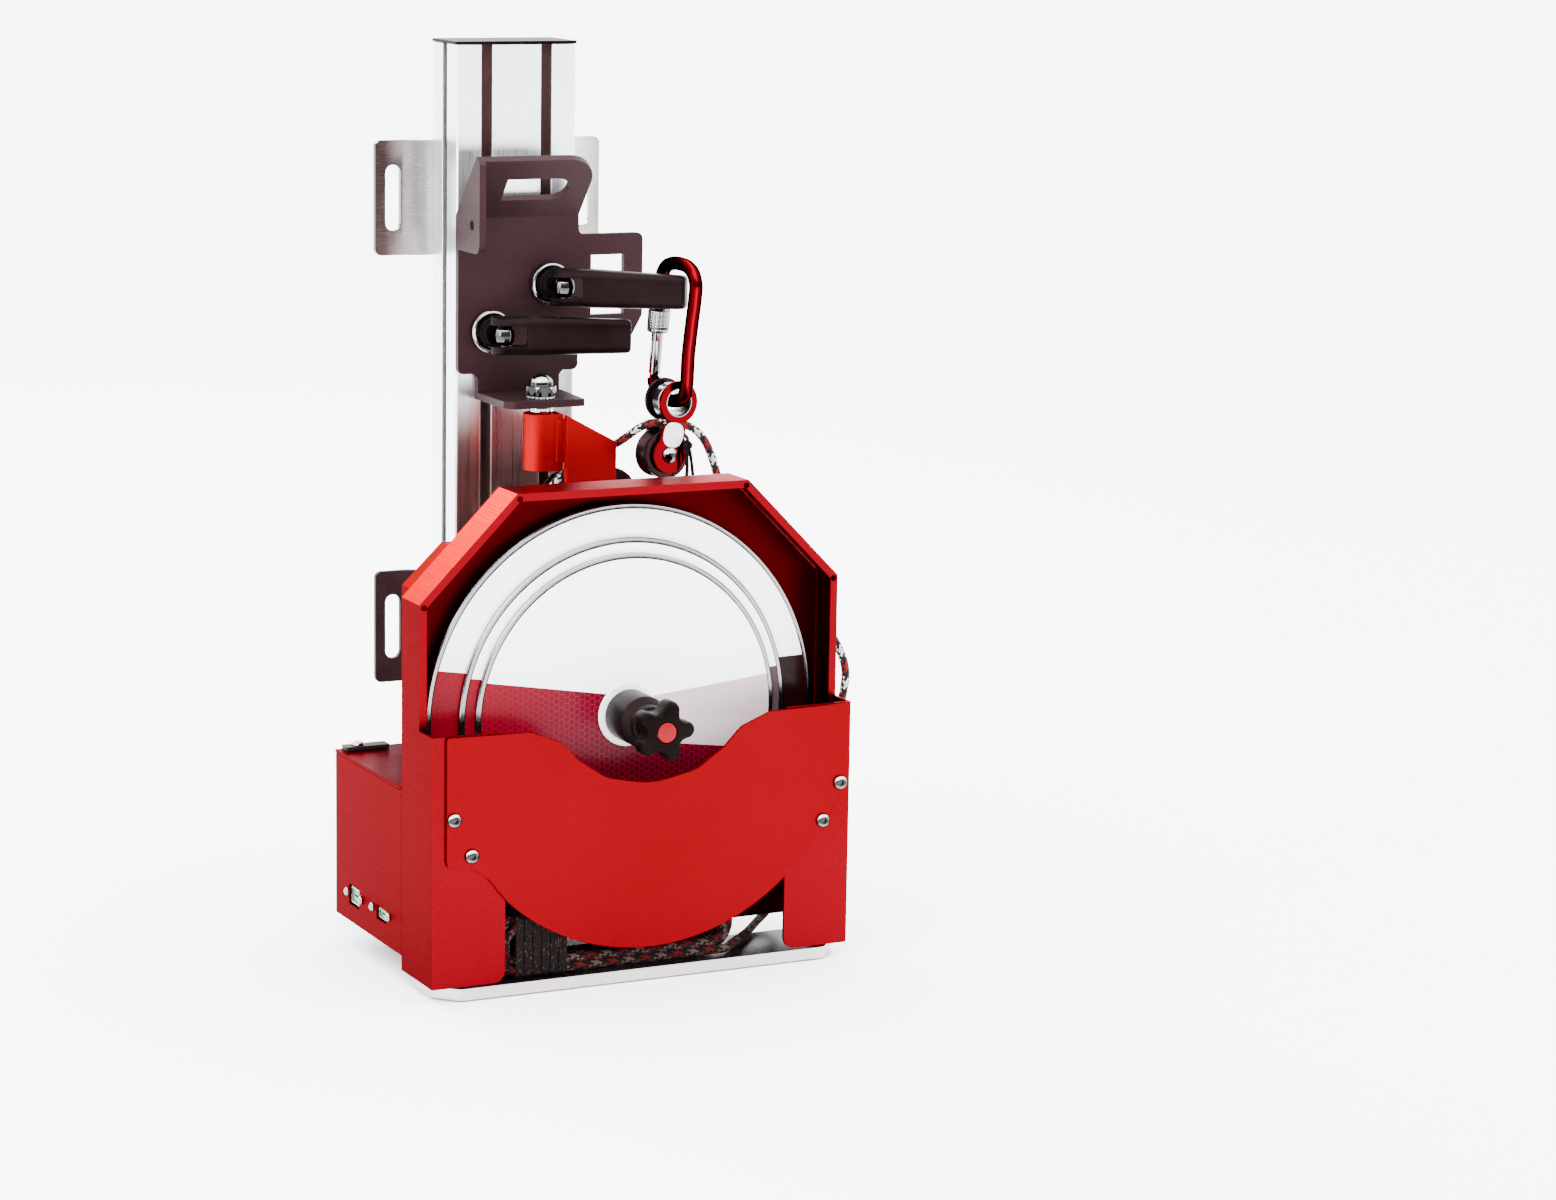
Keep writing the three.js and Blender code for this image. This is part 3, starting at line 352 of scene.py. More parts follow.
MAT["wing"] = make_wing()
MAT["silver"] = make_metal("machined_silver", (0.20, 0.192, 0.196), 0.20, (700, 700, 700), 0.12, 0.05, 0.05)
MAT["brass"] = make_metal("brass", (0.62, 0.44, 0.16), 0.3, (500, 500, 500), 0.1, 0.05)


def make_plain(name, base, rough, scale=60.0):
    t = Tree(name)
    c = t.noise(scale, 4, 0.6)
    t.color(t.ramp(c, [(0.3, tuple(v * 0.86 for v in base)), (0.7, tuple(min(1, v * 1.1) for v in base))]))
    t.rough(t.rng(c, rough - 0.05, rough + 0.06, 0.3, 0.7))
    t.bump(t.noise(1400.0, 2, 0.5), 0.08, 0.0001)
    return t.mat


MAT["red_plastic"] = make_plain("red_cap", (0.15, 0.0010, 0.0040), 0.34)
MAT["red_plastic"].node_tree.nodes["Principled BSDF"].inputs["Specular IOR Level"].default_value = 0.08
MAT["white_print"] = make_plain("white_print", (0.80, 0.78, 0.79), 0.35, 120.0)
MAT["board"] = make_plain("board_green", (0.02, 0.16, 0.06), 0.45)
MAT["socket"] = make_plain("socket_dark", (0.02, 0.02, 0.022), 0.4)
MAT["base_top"] = make_black("base_top_black", (0.0010, 0.0003, 0.0004), 0.22, 1400, 0.2, spec=0.06)


def disc_print(name, wedge, left_line, right_line, low_line):
    """White upper field, hexagon-patterned crimson below, plain wedge at the right. Each line is two points (x, z) in
    mm from the axle; the fields meet along those lines."""
    t = Tree(name)
    t.b.inputs["Coat Weight"].default_value = 0.03
    t.b.inputs["Coat Roughness"].default_value = 0.10
    t.b.inputs["Specular IOR Level"].default_value = 0.05
    x, y, z = t.xyz(t.co)
    xc = t.math("MULTIPLY", t.math("ADD", x, ORIGIN_X / 1000.0), 1000.0)
    zc = t.math("MULTIPLY", t.math("SUBTRACT", z, (AXIS_Z - ORIGIN_Z) / 1000.0), 1000.0)

    def above(line):
        (x0, z0), (x1, z1) = line
        k = (z1 - z0) / (x1 - x0)
        return t.math("SUBTRACT", t.math("SUBTRACT", zc, z0), t.math("MULTIPLY", t.math("SUBTRACT", xc, x0), k))

    step = lambda v: t.rng(v, 0.0, 1.0, -0.12, 0.12)
    u = t.math("DIVIDE", xc, 4.3)
    v = t.math("DIVIDE", zc, 4.3)

    def cell(ou, ov):
        du = t.math("SUBTRACT", t.math("WRAP", t.math("ADD", u, ou), math.sqrt(3.0), 0.0), math.sqrt(3.0) / 2)
        dv = t.math("SUBTRACT", t.math("WRAP", t.math("ADD", v, ov), 1.0, 0.0), 0.5)
        au, av = t.math("ABSOLUTE", du), t.math("ABSOLUTE", dv)
        return t.math("MAXIMUM", t.math("ADD", t.math("MULTIPLY", au, 0.8660254), t.math("MULTIPLY", av, 0.5)), av)

    hexd = t.math("MINIMUM", cell(0.0, 0.0), cell(math.sqrt(3.0) / 2, 0.5))
    line = t.rng(hexd, 0.0, 1.0, 0.42, 0.475)
    # crimson field: bright towards the rim at the left, plum near the hub, dark at the bottom
    radial = t.rng(xc, 0.0, 1.0, -120.0, -20.0)
    deep = t.rng(zc, 1.0, 0.0, -52.0, -8.0)
    cell_col = t.mix(radial, (0.120, 0.0004, 0.0060), (0.062, 0.0004, 0.0070))
    cell_col = t.mix(deep, cell_col, (0.044, 0.0002, 0.0024))
    line_col = t.mix(deep, t.mix(radial, (0.140, 0.0014, 0.0090), (0.150, 0.0060, 0.0200)), (0.150, 0.0040, 0.0110))
    hexcol = t.mix(line, cell_col, line_col)
    up_left = step(above(left_line))
    up_right = step(above(right_line))
    side = step(xc)
    white = t.math("ADD", t.math("MULTIPLY", up_left, t.math("SUBTRACT", 1.0, side)), t.math("MULTIPLY", up_right, side))
    in_wedge = t.math("MULTIPLY", step(above(low_line)), t.math("MULTIPLY", side, t.math("SUBTRACT", 1.0, up_right)))
    cream = t.mix(t.rng(t.noise(11.0, 2, 0.5), 0, 1, 0.35, 0.65), (0.86, 0.90, 0.89), (0.92, 0.94, 0.93))
    wedge_col = t.mix(t.rng(t.noise(40.0, 3, 0.5), 0, 1, 0.3, 0.7), wedge, tuple(min(1.0, c * 1.12) for c in wedge))
    col = t.mix(in_wedge, hexcol, wedge_col)
    col = t.mix(white, col, cream)
    t.color(col)
    t.rough(t.rng(t.noise(300.0, 3, 0.6), 0.24, 0.34, 0.3, 0.7))
    mask = t.math("SUBTRACT", 1.0, t.math("MINIMUM", 1.0, t.math("ADD", white, in_wedge)))
    t.bump(t.math("MULTIPLY", line, mask), 0.08, 0.00008)
    return t.mat


def braid(name, cells, pitch, wht=(0.62, 0.56, 0.57), dim=1.0):
    """Braided cord: two families of strands crossing over the tube's own UV (u in metres along it, v round it)."""
    t = Tree(name, Roughness=0.78)
    t.b.inputs["Sheen Weight"].default_value = 0.04 * dim
    t.b.inputs["Specular IOR Level"].default_value = 0.12 * dim
    uv = t.n("ShaderNodeUVMap", uv_map="UVMap").outputs["UV"]
    s, v, _ = t.xyz(uv)
    k = float(cells)
    sp = t.math("MULTIPLY", s, k / pitch)
    vv = t.math("MULTIPLY", v, k)
    a = t.math("ADD", sp, vv)
    b = t.math("SUBTRACT", sp, vv)
    fa, fb = t.math("FLOOR", a), t.math("FLOOR", b)
    over = t.math("WRAP", t.math("ADD", fa, fb), 2.0, 0.0)          # 0 or 1: which family is on top
    over = t.math("GREATER_THAN", over, 0.5)
    ia = t.math("WRAP", fa, k, 0.0)
    ib = t.math("WRAP", fb, k, 0.0)

    def pick(idx, n):
        return t.math("COMPARE", idx, float(n), 0.4)

    def strand(idx, whites, reds):
        w = pick(idx, whites[0])
        for q in whites[1:]:
            w = t.math("MAXIMUM", w, pick(idx, q))
        r = pick(idx, reds[0])
        for q in reds[1:]:
            r = t.math("MAXIMUM", r, pick(idx, q))
        c = t.mix(r, (0.0035 * dim, 0.0022 * dim, 0.0024 * dim), (0.15 * dim, 0.0018 * dim, 0.0030 * dim))
        return t.mix(w, c, wht)

    ca = strand(ia, (0, 1), (4, 5))
    cb = strand(ib, (0, 1), (4, 5))
    col = t.mix(over, ca, cb)
    # the edges of each strand are darker and lower
    ea = t.math("ABSOLUTE", t.math("SUBTRACT", t.math("FRACT", a), 0.5))
    eb = t.math("ABSOLUTE", t.math("SUBTRACT", t.math("FRACT", b), 0.5))
    e = t.math("MAXIMUM", ea, eb)
    edge = t.rng(e, 0.0, 1.0, 0.36, 0.5)
    col = t.mix(t.math("MULTIPLY", edge, 0.7), col, (0.006, 0.005, 0.005))
    fuzz = t.noise(2600.0, 3, 0.6)
    col = t.mix(t.rng(fuzz, 0.0, 0.35, 0.45, 0.75), col, (0.01, 0.01, 0.01))
    t.color(col)
    hgt = t.math("SUBTRACT", 1.0, t.math("MULTIPLY", t.math("MULTIPLY", e, e), 3.4))
    n1 = t.bump(hgt, 0.7, 0.0004)
    t.bump(fuzz, 0.25, 0.0001, n1)
    return t.mat


MAT["rope"] = braid("rope_braid", 8, 0.024)
MAT["rope_dark"] = braid("rope_braid_shaded", 8, 0.024, (0.055, 0.030, 0.028), 0.35)
MAT["thin_cord"] = make_black("thin_cord_black", (0.0030, 0.0014, 0.0016), 0.7, 2500, 0.5, spec=0.06)


def make_strap():
    """Dark woven tape with a fine pale and red fleck."""
    t = Tree("strap_webbing", Roughness=0.7)
    t.b.inputs["Specular IOR Level"].default_value = 0.05
    w = t.n("ShaderNodeTexChecker")
    w.inputs["Scale"].default_value = 1.0
    t.link(t.scaled(620, 620, 480, (0.0, 0.55, 0.0)), w.inputs["Vector"])
    n = t.noise(900.0, 3, 0.6)
    fleck = t.noise(760.0, 2, 0.5, t.scaled(1.0, 1.0, 0.5))
    c = t.mix(w.outputs["Fac"], (0.0016, 0.0007, 0.0008), (0.0040, 0.0020, 0.0022))
    c = t.mix(t.rng(fleck, 0.0, 0.8, 0.62, 0.68), c, (0.045, 0.022, 0.020))
    t.color(c)
    t.bump(t.math("ADD", w.outputs["Fac"], n), 0.4, 0.0003)
    return t.mat


MAT["strap"] = make_strap()


# ------------------------------------------------------------------ mesh helpers
made_for = {}


def put(name, me, body, mats, sharp=32.0):
    ob = bpy.data.objects.new(name, me)
    scene.collection.objects.link(ob)
    mats = list(mats) if isinstance(mats, (list, tuple)) else [mats]
    idx = [0] * len(me.polygons)
    me.polygons.foreach_get("material_index", idx)
    me.materials.clear()
    for mt in mats:
        me.materials.append(mt)
    me.polygons.foreach_set("material_index", [min(i, len(mats) - 1) for i in idx])
    me.update()
    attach(ob, body)
    return ob


def shaded(me, sharp, weighted):
    """Smooth shading with real creases; on bevelled pieces the flat faces rule the normals, so they stay flat."""
    me.polygons.foreach_set("use_smooth", [True] * len(me.polygons))
    if sharp is not None:
        me.set_sharp_from_angle(angle=math.radians(sharp))
    me.update()
    if not weighted:
        return me
    name = me.name
    tmp = bpy.data.objects.new("tmp_wn", me)
    scene.collection.objects.link(tmp)
    md = tmp.modifiers.new("wn", "WEIGHTED_NORMAL")
    md.mode = "FACE_AREA"
    md.weight = 100
    md.keep_sharp = True
    dg = bpy.context.evaluated_depsgraph_get()
    dg.update()
    new = bpy.data.meshes.new_from_object(tmp.evaluated_get(dg))
    bpy.data.objects.remove(tmp)
    bpy.data.meshes.remove(me)
    new.name = name
    return new


def finish_bm(bm, name, body, mats, bevel=None, seg=2, angle=34.0, sharp=32.0, subsurf=0):
    me = bpy.data.meshes.new(name)
    bm.normal_update()
    bm.to_mesh(me)
    bm.free()
    if bevel or subsurf:
        tmp = bpy.data.objects.new(name + "_tmp", me)
        scene.collection.objects.link(tmp)
        if bevel:
            md = tmp.modifiers.new("bevel", "BEVEL")
            md.width = bevel / 1000.0
            md.segments = seg
            md.limit_method = "ANGLE"
            md.angle_limit = math.radians(angle)
            md.use_clamp_overlap = True
            md.miter_outer = "MITER_ARC"
        if subsurf:
            md = tmp.modifiers.new("sub", "SUBSURF")
            md.levels = md.render_levels = subsurf
        dg = bpy.context.evaluated_depsgraph_get()
        dg.update()
        new = bpy.data.meshes.new_from_object(tmp.evaluated_get(dg))
        new.name = name
        bpy.data.objects.remove(tmp)
        bpy.data.meshes.remove(me)
        me = new
    me = shaded(me, sharp, bool(bevel))
    return put(name, me, body, mats, sharp)


def refine(node, mats, bevel=0.35, seg=2, name=None, angle=34.0):
    """A bevelled, cleaned copy of a CAD node: same shape, with real rounded edges."""
    src = NODES[node]
    bm = bmesh.new()
    bm.from_mesh(src.data)
    bmesh.ops.remove_doubles(bm, verts=bm.verts, dist=2e-6)
    bmesh.ops.dissolve_limit(bm, angle_limit=math.radians(0.6), verts=bm.verts, edges=bm.edges)
    ob = finish_bm(bm, name or (node + "_v"), BODY_OF[node], mats, bevel, seg, angle)
    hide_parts(node)
    return ob


def fillet(pts, r, seg=3, closed=False, min_turn=18.0):
    """Rounds the corners of a profile or outline."""
    out = []
    n = len(pts)
    for i, p in enumerate(pts):
        if not closed and i in (0, n - 1):
            out.append(Vector(p))
            continue
        p = Vector(p)
        a, b = Vector(pts[(i - 1) % n]), Vector(pts[(i + 1) % n])
        va, vb = a - p, b - p
        la, lb = va.length, vb.length
        if la < 1e-6 or lb < 1e-6:
            continue
        va.normalize()
        vb.normalize()
        ang = math.acos(max(-1, min(1, va.dot(vb))))
        if math.degrees(math.pi - ang) < min_turn:
            out.append(p)
            continue
        rr = r if not isinstance(r, (list, tuple)) else r[i]
        d = min(rr / math.tan(ang / 2), la * 0.45, lb * 0.45)
        rr = d * math.tan(ang / 2)
        if rr < 1e-5:
            out.append(p)
            continue
        c = p + (va + vb).normalized() * (rr / math.sin(ang / 2))
        s0, s1 = p + va * d, p + vb * d
        a0 = math.atan2(s0.y - c.y, s0.x - c.x)
        a1 = math.atan2(s1.y - c.y, s1.x - c.x)
        da = a1 - a0
        while da > math.pi:
            da -= 2 * math.pi
        while da < -math.pi:
            da += 2 * math.pi
        for k in range(seg + 1):
            t = a0 + da * k / seg
            out.append(Vector((c.x + rr * math.cos(t), c.y + rr * math.sin(t))))
    return [(v.x, v.y) for v in out]


def lathe_bm(profile, axis, centre, n=96, mat_of=None, r=0.3, mat3=None, rad_fn=None):
    """Turned piece. profile is (radius, along) in mm. centre gives the two other coordinates."""
    closed = not (profile[0][0] < 1e-6 and profile[-1][0] < 1e-6)
    prof = profile[:-1] if closed and (Vector(profile[0]) - Vector(profile[-1])).length < 1e-6 else profile
    prof = fillet(prof, r, 3, closed) if r else prof
    bm = bmesh.new()
    rings = []
    for (rad, al) in prof:
        if rad < 1e-6:
            rings.append([bm.verts.new(axis_pt(0, al, 0, axis, centre))])
            continue
        ring = []
        for i in range(n):
            t = 2 * math.pi * i / n
            rr = rad if rad_fn is None else rad_fn(rad, al, t)
            ring.append(bm.verts.new(axis_pt(rr * math.cos(t), al, rr * math.sin(t), axis, centre)))
        rings.append(ring)
    m = len(rings)
    for j in range(m if closed else m - 1):
        A, B = rings[j], rings[(j + 1) % m]
        for i in range(n):
            k = (i + 1) % n
            if len(A) == 1 and len(B) == 1:
                break
            if len(A) == 1:
                vs = [A[0], B[k], B[i]]
            elif len(B) == 1:
                vs = [A[i], A[k], B[0]]
            else:
                vs = [A[i], A[k], B[k], B[i]]
            try:
                f = bm.faces.new(vs)
            except ValueError:
                continue
            if mat_of is not None:
                f.material_index = mat_of((prof[j][0] + prof[(j + 1) % m][0]) / 2, (prof[j][1] + prof[(j + 1) % m][1]) / 2)
    bmesh.ops.recalc_face_normals(bm, faces=bm.faces)
    return bm


def axis_pt(u, al, v, axis, centre):
    if axis == "Y":
        return P(centre[0] + u, al, centre[1] + v)
    if axis == "Z":
        return P(centre[0] + u, centre[1] + v, al)
    return P(al, centre[0] + u, centre[1] + v)


def plate_bm(outline, holes, t0, t1, plane="XZ"):
    """A flat plate with holes from outlines in mm; plane XZ spans y, XY spans z, YZ spans x."""
    bm = bmesh.new()

    def mk(p, t):
        if plane == "XZ":
            return bm.verts.new(P(p[0], t, p[1]))
        if plane == "XY":
            return bm.verts.new(P(p[0], p[1], t))
        return bm.verts.new(P(t, p[0], p[1]))

    loops0, loops1 = [], []
    for pts in [outline] + holes:
        loops0.append([mk(p, t0) for p in pts])
        loops1.append([mk(p, t1) for p in pts])
    for loops in (loops0, loops1):
        edges = []
        for lp in loops:
            for i in range(len(lp)):
                edges.append(bm.edges.new((lp[i], lp[(i + 1) % len(lp)])))
        bmesh.ops.triangle_fill(bm, use_beauty=True, use_dissolve=False, edges=edges)
    for a, b in zip(loops0, loops1):
        for i in range(len(a)):
            k = (i + 1) % len(a)
            bm.faces.new((a[i], a[k], b[k], b[i]))
    bmesh.ops.recalc_face_normals(bm, faces=bm.faces)
    bmesh.ops.dissolve_limit(bm, angle_limit=math.radians(0.3), verts=bm.verts, edges=bm.edges)
    return bm


def arc(cx, cy, r, a0, a1, n):
    return [(cx + r * math.cos(math.radians(a0 + (a1 - a0) * i / n)), cy + r * math.sin(math.radians(a0 + (a1 - a0) * i / n))) for i in range(n + 1)]


def circle(cx, cy, r, n=48):
    return [(cx + r * math.cos(2 * math.pi * i / n), cy + r * math.sin(2 * math.pi * i / n)) for i in range(n)]


def catmull(pts, per=16):
    """Centripetal Catmull-Rom through the points, as the CAD route."""
    P3 = [Vector(p) for p in pts]
    first = P3[0] * 2 - P3[1]
    last = P3[-1] * 2 - P3[-2]
    Q = [first] + P3 + [last]
    out = []
    for i in range(1, len(Q) - 2):
        p0, p1, p2, p3 = Q[i - 1], Q[i], Q[i + 1], Q[i + 2]
        t01 = max(1e-9, (p0 - p1).length ** 0.5)
        t12 = max(1e-9, (p1 - p2).length ** 0.5)
        t23 = max(1e-9, (p2 - p3).length ** 0.5)
        m1 = (p1 - p0) / t01 - (p2 - p0) / (t01 + t12) + (p2 - p1) / t12
        m2 = (p2 - p1) / t12 - (p3 - p1) / (t12 + t23) + (p3 - p2) / t23
        m1, m2 = m1 * t12, m2 * t12
        for k in range(per):
            t = k / per
            out.append((2 * t ** 3 - 3 * t ** 2 + 1) * p1 + (t ** 3 - 2 * t ** 2 + t) * m1 + (-2 * t ** 3 + 3 * t ** 2) * p2 + (t ** 3 - t ** 2) * m2)
    out.append(P3[-1])
    return out


def resample(pts, step):
    L = [0.0]
    for a, b in zip(pts, pts[1:]):
        L.append(L[-1] + (b - a).length)
    n = max(2, int(round(L[-1] / step)))
    out, j = [], 0
    for i in range(n + 1):
        s = L[-1] * i / n
        while j < len(L) - 2 and L[j + 1] < s:
            j += 1
        t = (s - L[j]) / max(1e-9, L[j + 1] - L[j])
        out.append(pts[j].lerp(pts[j + 1], t))
    return out, L[-1]


def tube_bm(pts, radius, sides=24, rad_fn=None, cap=True, uv=True):
    """A swept tube with parallel-transported rings. pts in mm (rail frame); UV u is metres along, v is round."""
    bm = bmesh.new()
    layer = bm.loops.layers.uv.new("UVMap")
    tang = []
    for i in range(len(pts)):
        a, b = pts[max(0, i - 1)], pts[min(len(pts) - 1, i + 1)]
        tang.append((b - a).normalized())
    ref = Vector((0, 0, 1)) if abs(tang[0].z) < 0.9 else Vector((0, 1, 0))
    nrm = (ref - tang[0] * ref.dot(tang[0])).normalized()
    rings, ss, s = [], [], 0.0
    for i, p in enumerate(pts):
        if i:
            s += (p - pts[i - 1]).length
            nrm = (nrm - tang[i] * nrm.dot(tang[i])).normalized()
        bn = tang[i].cross(nrm)
        ring = []
        for k in range(sides):
            th = 2 * math.pi * k / sides
            rr = radius if rad_fn is None else rad_fn(s, th)
            q = p + (nrm * math.cos(th) + bn * math.sin(th)) * rr
            ring.append(bm.verts.new(P(*q)))
        rings.append(ring)
        ss.append(s / 1000.0)
    for i in range(len(rings) - 1):
        for k in range(sides):
            k2 = (k + 1) % sides
            f = bm.faces.new((rings[i][k], rings[i][k2], rings[i + 1][k2], rings[i + 1][k]))
            for lp, (u, v) in zip(f.loops, ((ss[i], k / sides), (ss[i], (k + 1) / sides), (ss[i + 1], (k + 1) / sides), (ss[i + 1], k / sides))):
                lp[layer].uv = (u, v)
    if cap:
        bm.faces.new(list(reversed(rings[0])))
        bm.faces.new(rings[-1])
    bmesh.ops.recalc_face_normals(bm, faces=bm.faces)
    return bm


def braid_radius(R, cells, pitch_mm):
    def fn(s, th):
        a = s / pitch_mm * cells + th / (2 * math.pi) * cells
        b = s / pitch_mm * cells - th / (2 * math.pi) * cells
        return R * (0.955 + 0.045 * abs(math.sin(math.pi * a)) * abs(math.sin(math.pi * b)))
    return fn


# ------------------------------------------------------------------ rope (same routes as the CAD)
LOOP = [[1.6, -54.6, -338.4], [1.6, -54, -328], [1.7, -53.7, -317], [3.1, -53.7, -308.8], [7.2, -53.7, -301.6], [14.2, -53.7, -295.9], [27, -53.7, -289.3], [40, -53.9, -282.4], [47, -54.6, -278.6], [53.4, -57.4, -275.2], [58.6, -63.8, -269.6], [64.4, -71.4, -262.8], [70.6, -77, -259.2], [78, -79.6, -259.2], [86, -79.8, -259.6], [96.5, -79.3, -261.6], [106, -79.3, -267.4], [113, -79.8, -277], [117.6, -81.4, -290], [119.8, -85, -302], [122.4, -91, -316], [126, -99, -331]]
SIDE = [[126.2, -99.4, -331.8], [133, -114, -351], [145, -134, -371], [162, -151, -389], [175, -160, -406], [182, -163, -424], [182.6, -162, -440], [179, -158, -462], [174, -152, -492], [168, -147, -524], [158, -146, -554], [145, -150, -578], [129, -158, -594.5], [112, -170, -601.2], [97, -186, -602.6], [84, -198.5, -602.6], [76.6, -205.5, -602.6]]
ROPE_R = 3.1
braid_r = braid_radius(ROPE_R, 8, 24.0)


ROPE_V = 2.98          # drawn radius: runs that lie side by side just touch
zc = -584.2
rows = [-218.3, -212.3, -206.3, -200.3]
X0, X1 = -86.0, 52.0


def fold(cx, y0, y1, ra, rb, a0, out):
    """Half turn about the hank's end, from radius ra to rb, drifting from row y0 to y1."""
    for i in range(1, 12):
        t = i / 12
        r = ra + (rb - ra) * t
        a = math.radians(a0 - 180 * t)
        out.append((cx + r * math.cos(a), y0 + (y1 - y0) * t, zc + r * math.sin(a)))


def run(xa, xb, y, z, out, ph, n=7):
    for i in range(n):
        t = i / (n - 1)
        out.append((xa + (xb - xa) * t, y + 0.02 * math.sin(3.1 * t + ph), z))


hank = [(71.0, -211.8, -602.5), (66.5, -216.2, -602.4), (60.0, -218.3, -602.2)]
R1, R2 = 17.9, 11.9
order = [(rows[0], rows[1], R1, R1), (rows[1], rows[2], R1, R1), (rows[2], rows[3], R1, R1), (rows[3], rows[3], R1, R2),
         (rows[3], rows[2], R2, R2), (rows[2], rows[1], R2, R2), (rows[1], rows[0], R2, R2)]
for q, (ya, yb, ra, rb) in enumerate(order):
    run(X1, X0, ya, zc - ra, hank, q)
    fold(X0, ya, yb, ra, ra, -90, hank)
    run(X0, X1, yb, zc + ra, hank, q + 2)
    fold(X1, yb, yb, ra, rb, 90, hank)
run(X1, X0 + 22, rows[0], zc - R2, hank, 5)
route = LOOP + SIDE + hank
line, rope_len = resample(catmull(route, 10), 1.15)
bm = tube_bm(line, ROPE_V, 18, braid_radius(ROPE_V, 8, 24.0))
bm.faces.layers.int.new("part")
for f in bm.faces:
    c = f.calc_center_median()
    f.material_index = 1 if c.z < P(0, 0, -560)[2] else 0
rope_ob = finish_bm(bm, "rope_braid", "housing", [MAT["rope"], MAT["rope_dark"]], sharp=None)
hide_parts("rope_loop", "rope_side", "rope_hank")
print("rope %.3f m" % (rope_len / 1000.0))
# a flat webbing strap ties the hank
outer = fillet([(-222.3, -605.75), (-196.6, -605.75), (-196.6, -562.6), (-222.3, -562.6)], 3.4, 5, True)
inner = fillet([(-221.7, -605.25), (-197.2, -605.25), (-197.2, -563.2), (-221.7, -563.2)], 3.0, 5, True)


# ------------------------------------------------------------------ refined CAD plates and folded sheet
_l, _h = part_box("rail_profile")
RAILBOX = (_l[0], _h[0], _l[1], _h[1])
for nd, mt, bv in [
    ("rail_profile", "rail", 0.35), ("rail_top_cap", "black_plastic", 0.5),
    ("upper_wall_bracket", "wing", 0.4), ("lower_wall_bracket", "black_bracket", 0.45),
    ("upper_bracket_bolt_left", "steel", 0.3), ("upper_bracket_bolt_right", "steel", 0.3),
    ("lower_bracket_bolt_left", "steel", 0.3), ("lower_bracket_bolt_right", "steel", 0.3),
    ("carriage_plate", "powder", 0.7), ("tooth_washer", "steel", 0.15),
    ("swivel_arm", "red_arm", 0.4), ("guard_back_plate", "red_painted_shade_inner", 0.3),
    ("rear_shell", "red_painted_shade_darker", 0.5), ("front_cover", "red", 0.35),
    ("rear_box", "red_painted_shade_darker", 0.5), ("rear_box_lid", "red_painted_shade_darker", 0.35), ("guide_plate", "black_metal", 0.4),
    ("main_bearing", "steel", 0.3), ("rope_spool", "steel", 0.4), ("swivel_bush", "brass", 0.3),
    ("upper_lever_pin", "steel", 0.3), ("lower_lever_pin", "steel", 0.3),
]:
    refine(nd, MAT[mt], bv)

# guard: the face towards the discs takes a darker copy of the red as painted shade, and the faces turned to -X take
# another darker copy as painted shade
gs = refine("guard_shell", [MAT["red_band"], MAT["red_painted_shade_inner"], MAT["red_painted_shade_darker"]], 0.45)
gc = P(0, 0, -437.5)
for f in gs.data.polygons:
    c = f.center
    rad = Vector((c.x - gc.x, 0, c.z - gc.z))
    if abs(f.normal.y) < 0.5 and f.normal.dot(rad) < 0:
        f.material_index = 1
    elif f.normal.x < -0.95:
        f.material_index = 2

# rail: painted shade inside the slots, dark brown in the front-face slots and darker grey in the side-face slots
rl = [o for o in scene.objects if o.name == "rail_profile_v"][0]
rl.data.materials.append(MAT["slot_shadow"])
rl.data.materials.append(MAT["slot_painted_shade_grey"])
rx0, rx1, ry0, ry1 = RAILBOX
for f in rl.data.polygons:
    c = f.center
    if abs(f.normal.z) < 0.5 and rx0 + 0.0022 < c.x < rx1 - 0.0022 and ry0 + 0.0022 < c.y < ry1 - 0.0022:
        f.material_index = 2 if c.x < rx0 + 0.012 or c.x > rx1 - 0.012 else 1

for q in range(6):
    bm = plate_bm(outer, [inner], -92.0 + 6.3 * q, -86.3 + 6.3 * q, "YZ")
    finish_bm(bm, "rope_hank_wrap_%d" % (q + 1), "housing", MAT["strap"], bevel=0.15, seg=1, angle=50)

# base plate: dark top, bright edge
bp = refine("base_plate", [MAT["base_edge"], MAT["base_top"]], 0.5)
for f in bp.data.polygons:
    f.material_index = 1 if f.normal.z > 0.9 else 0

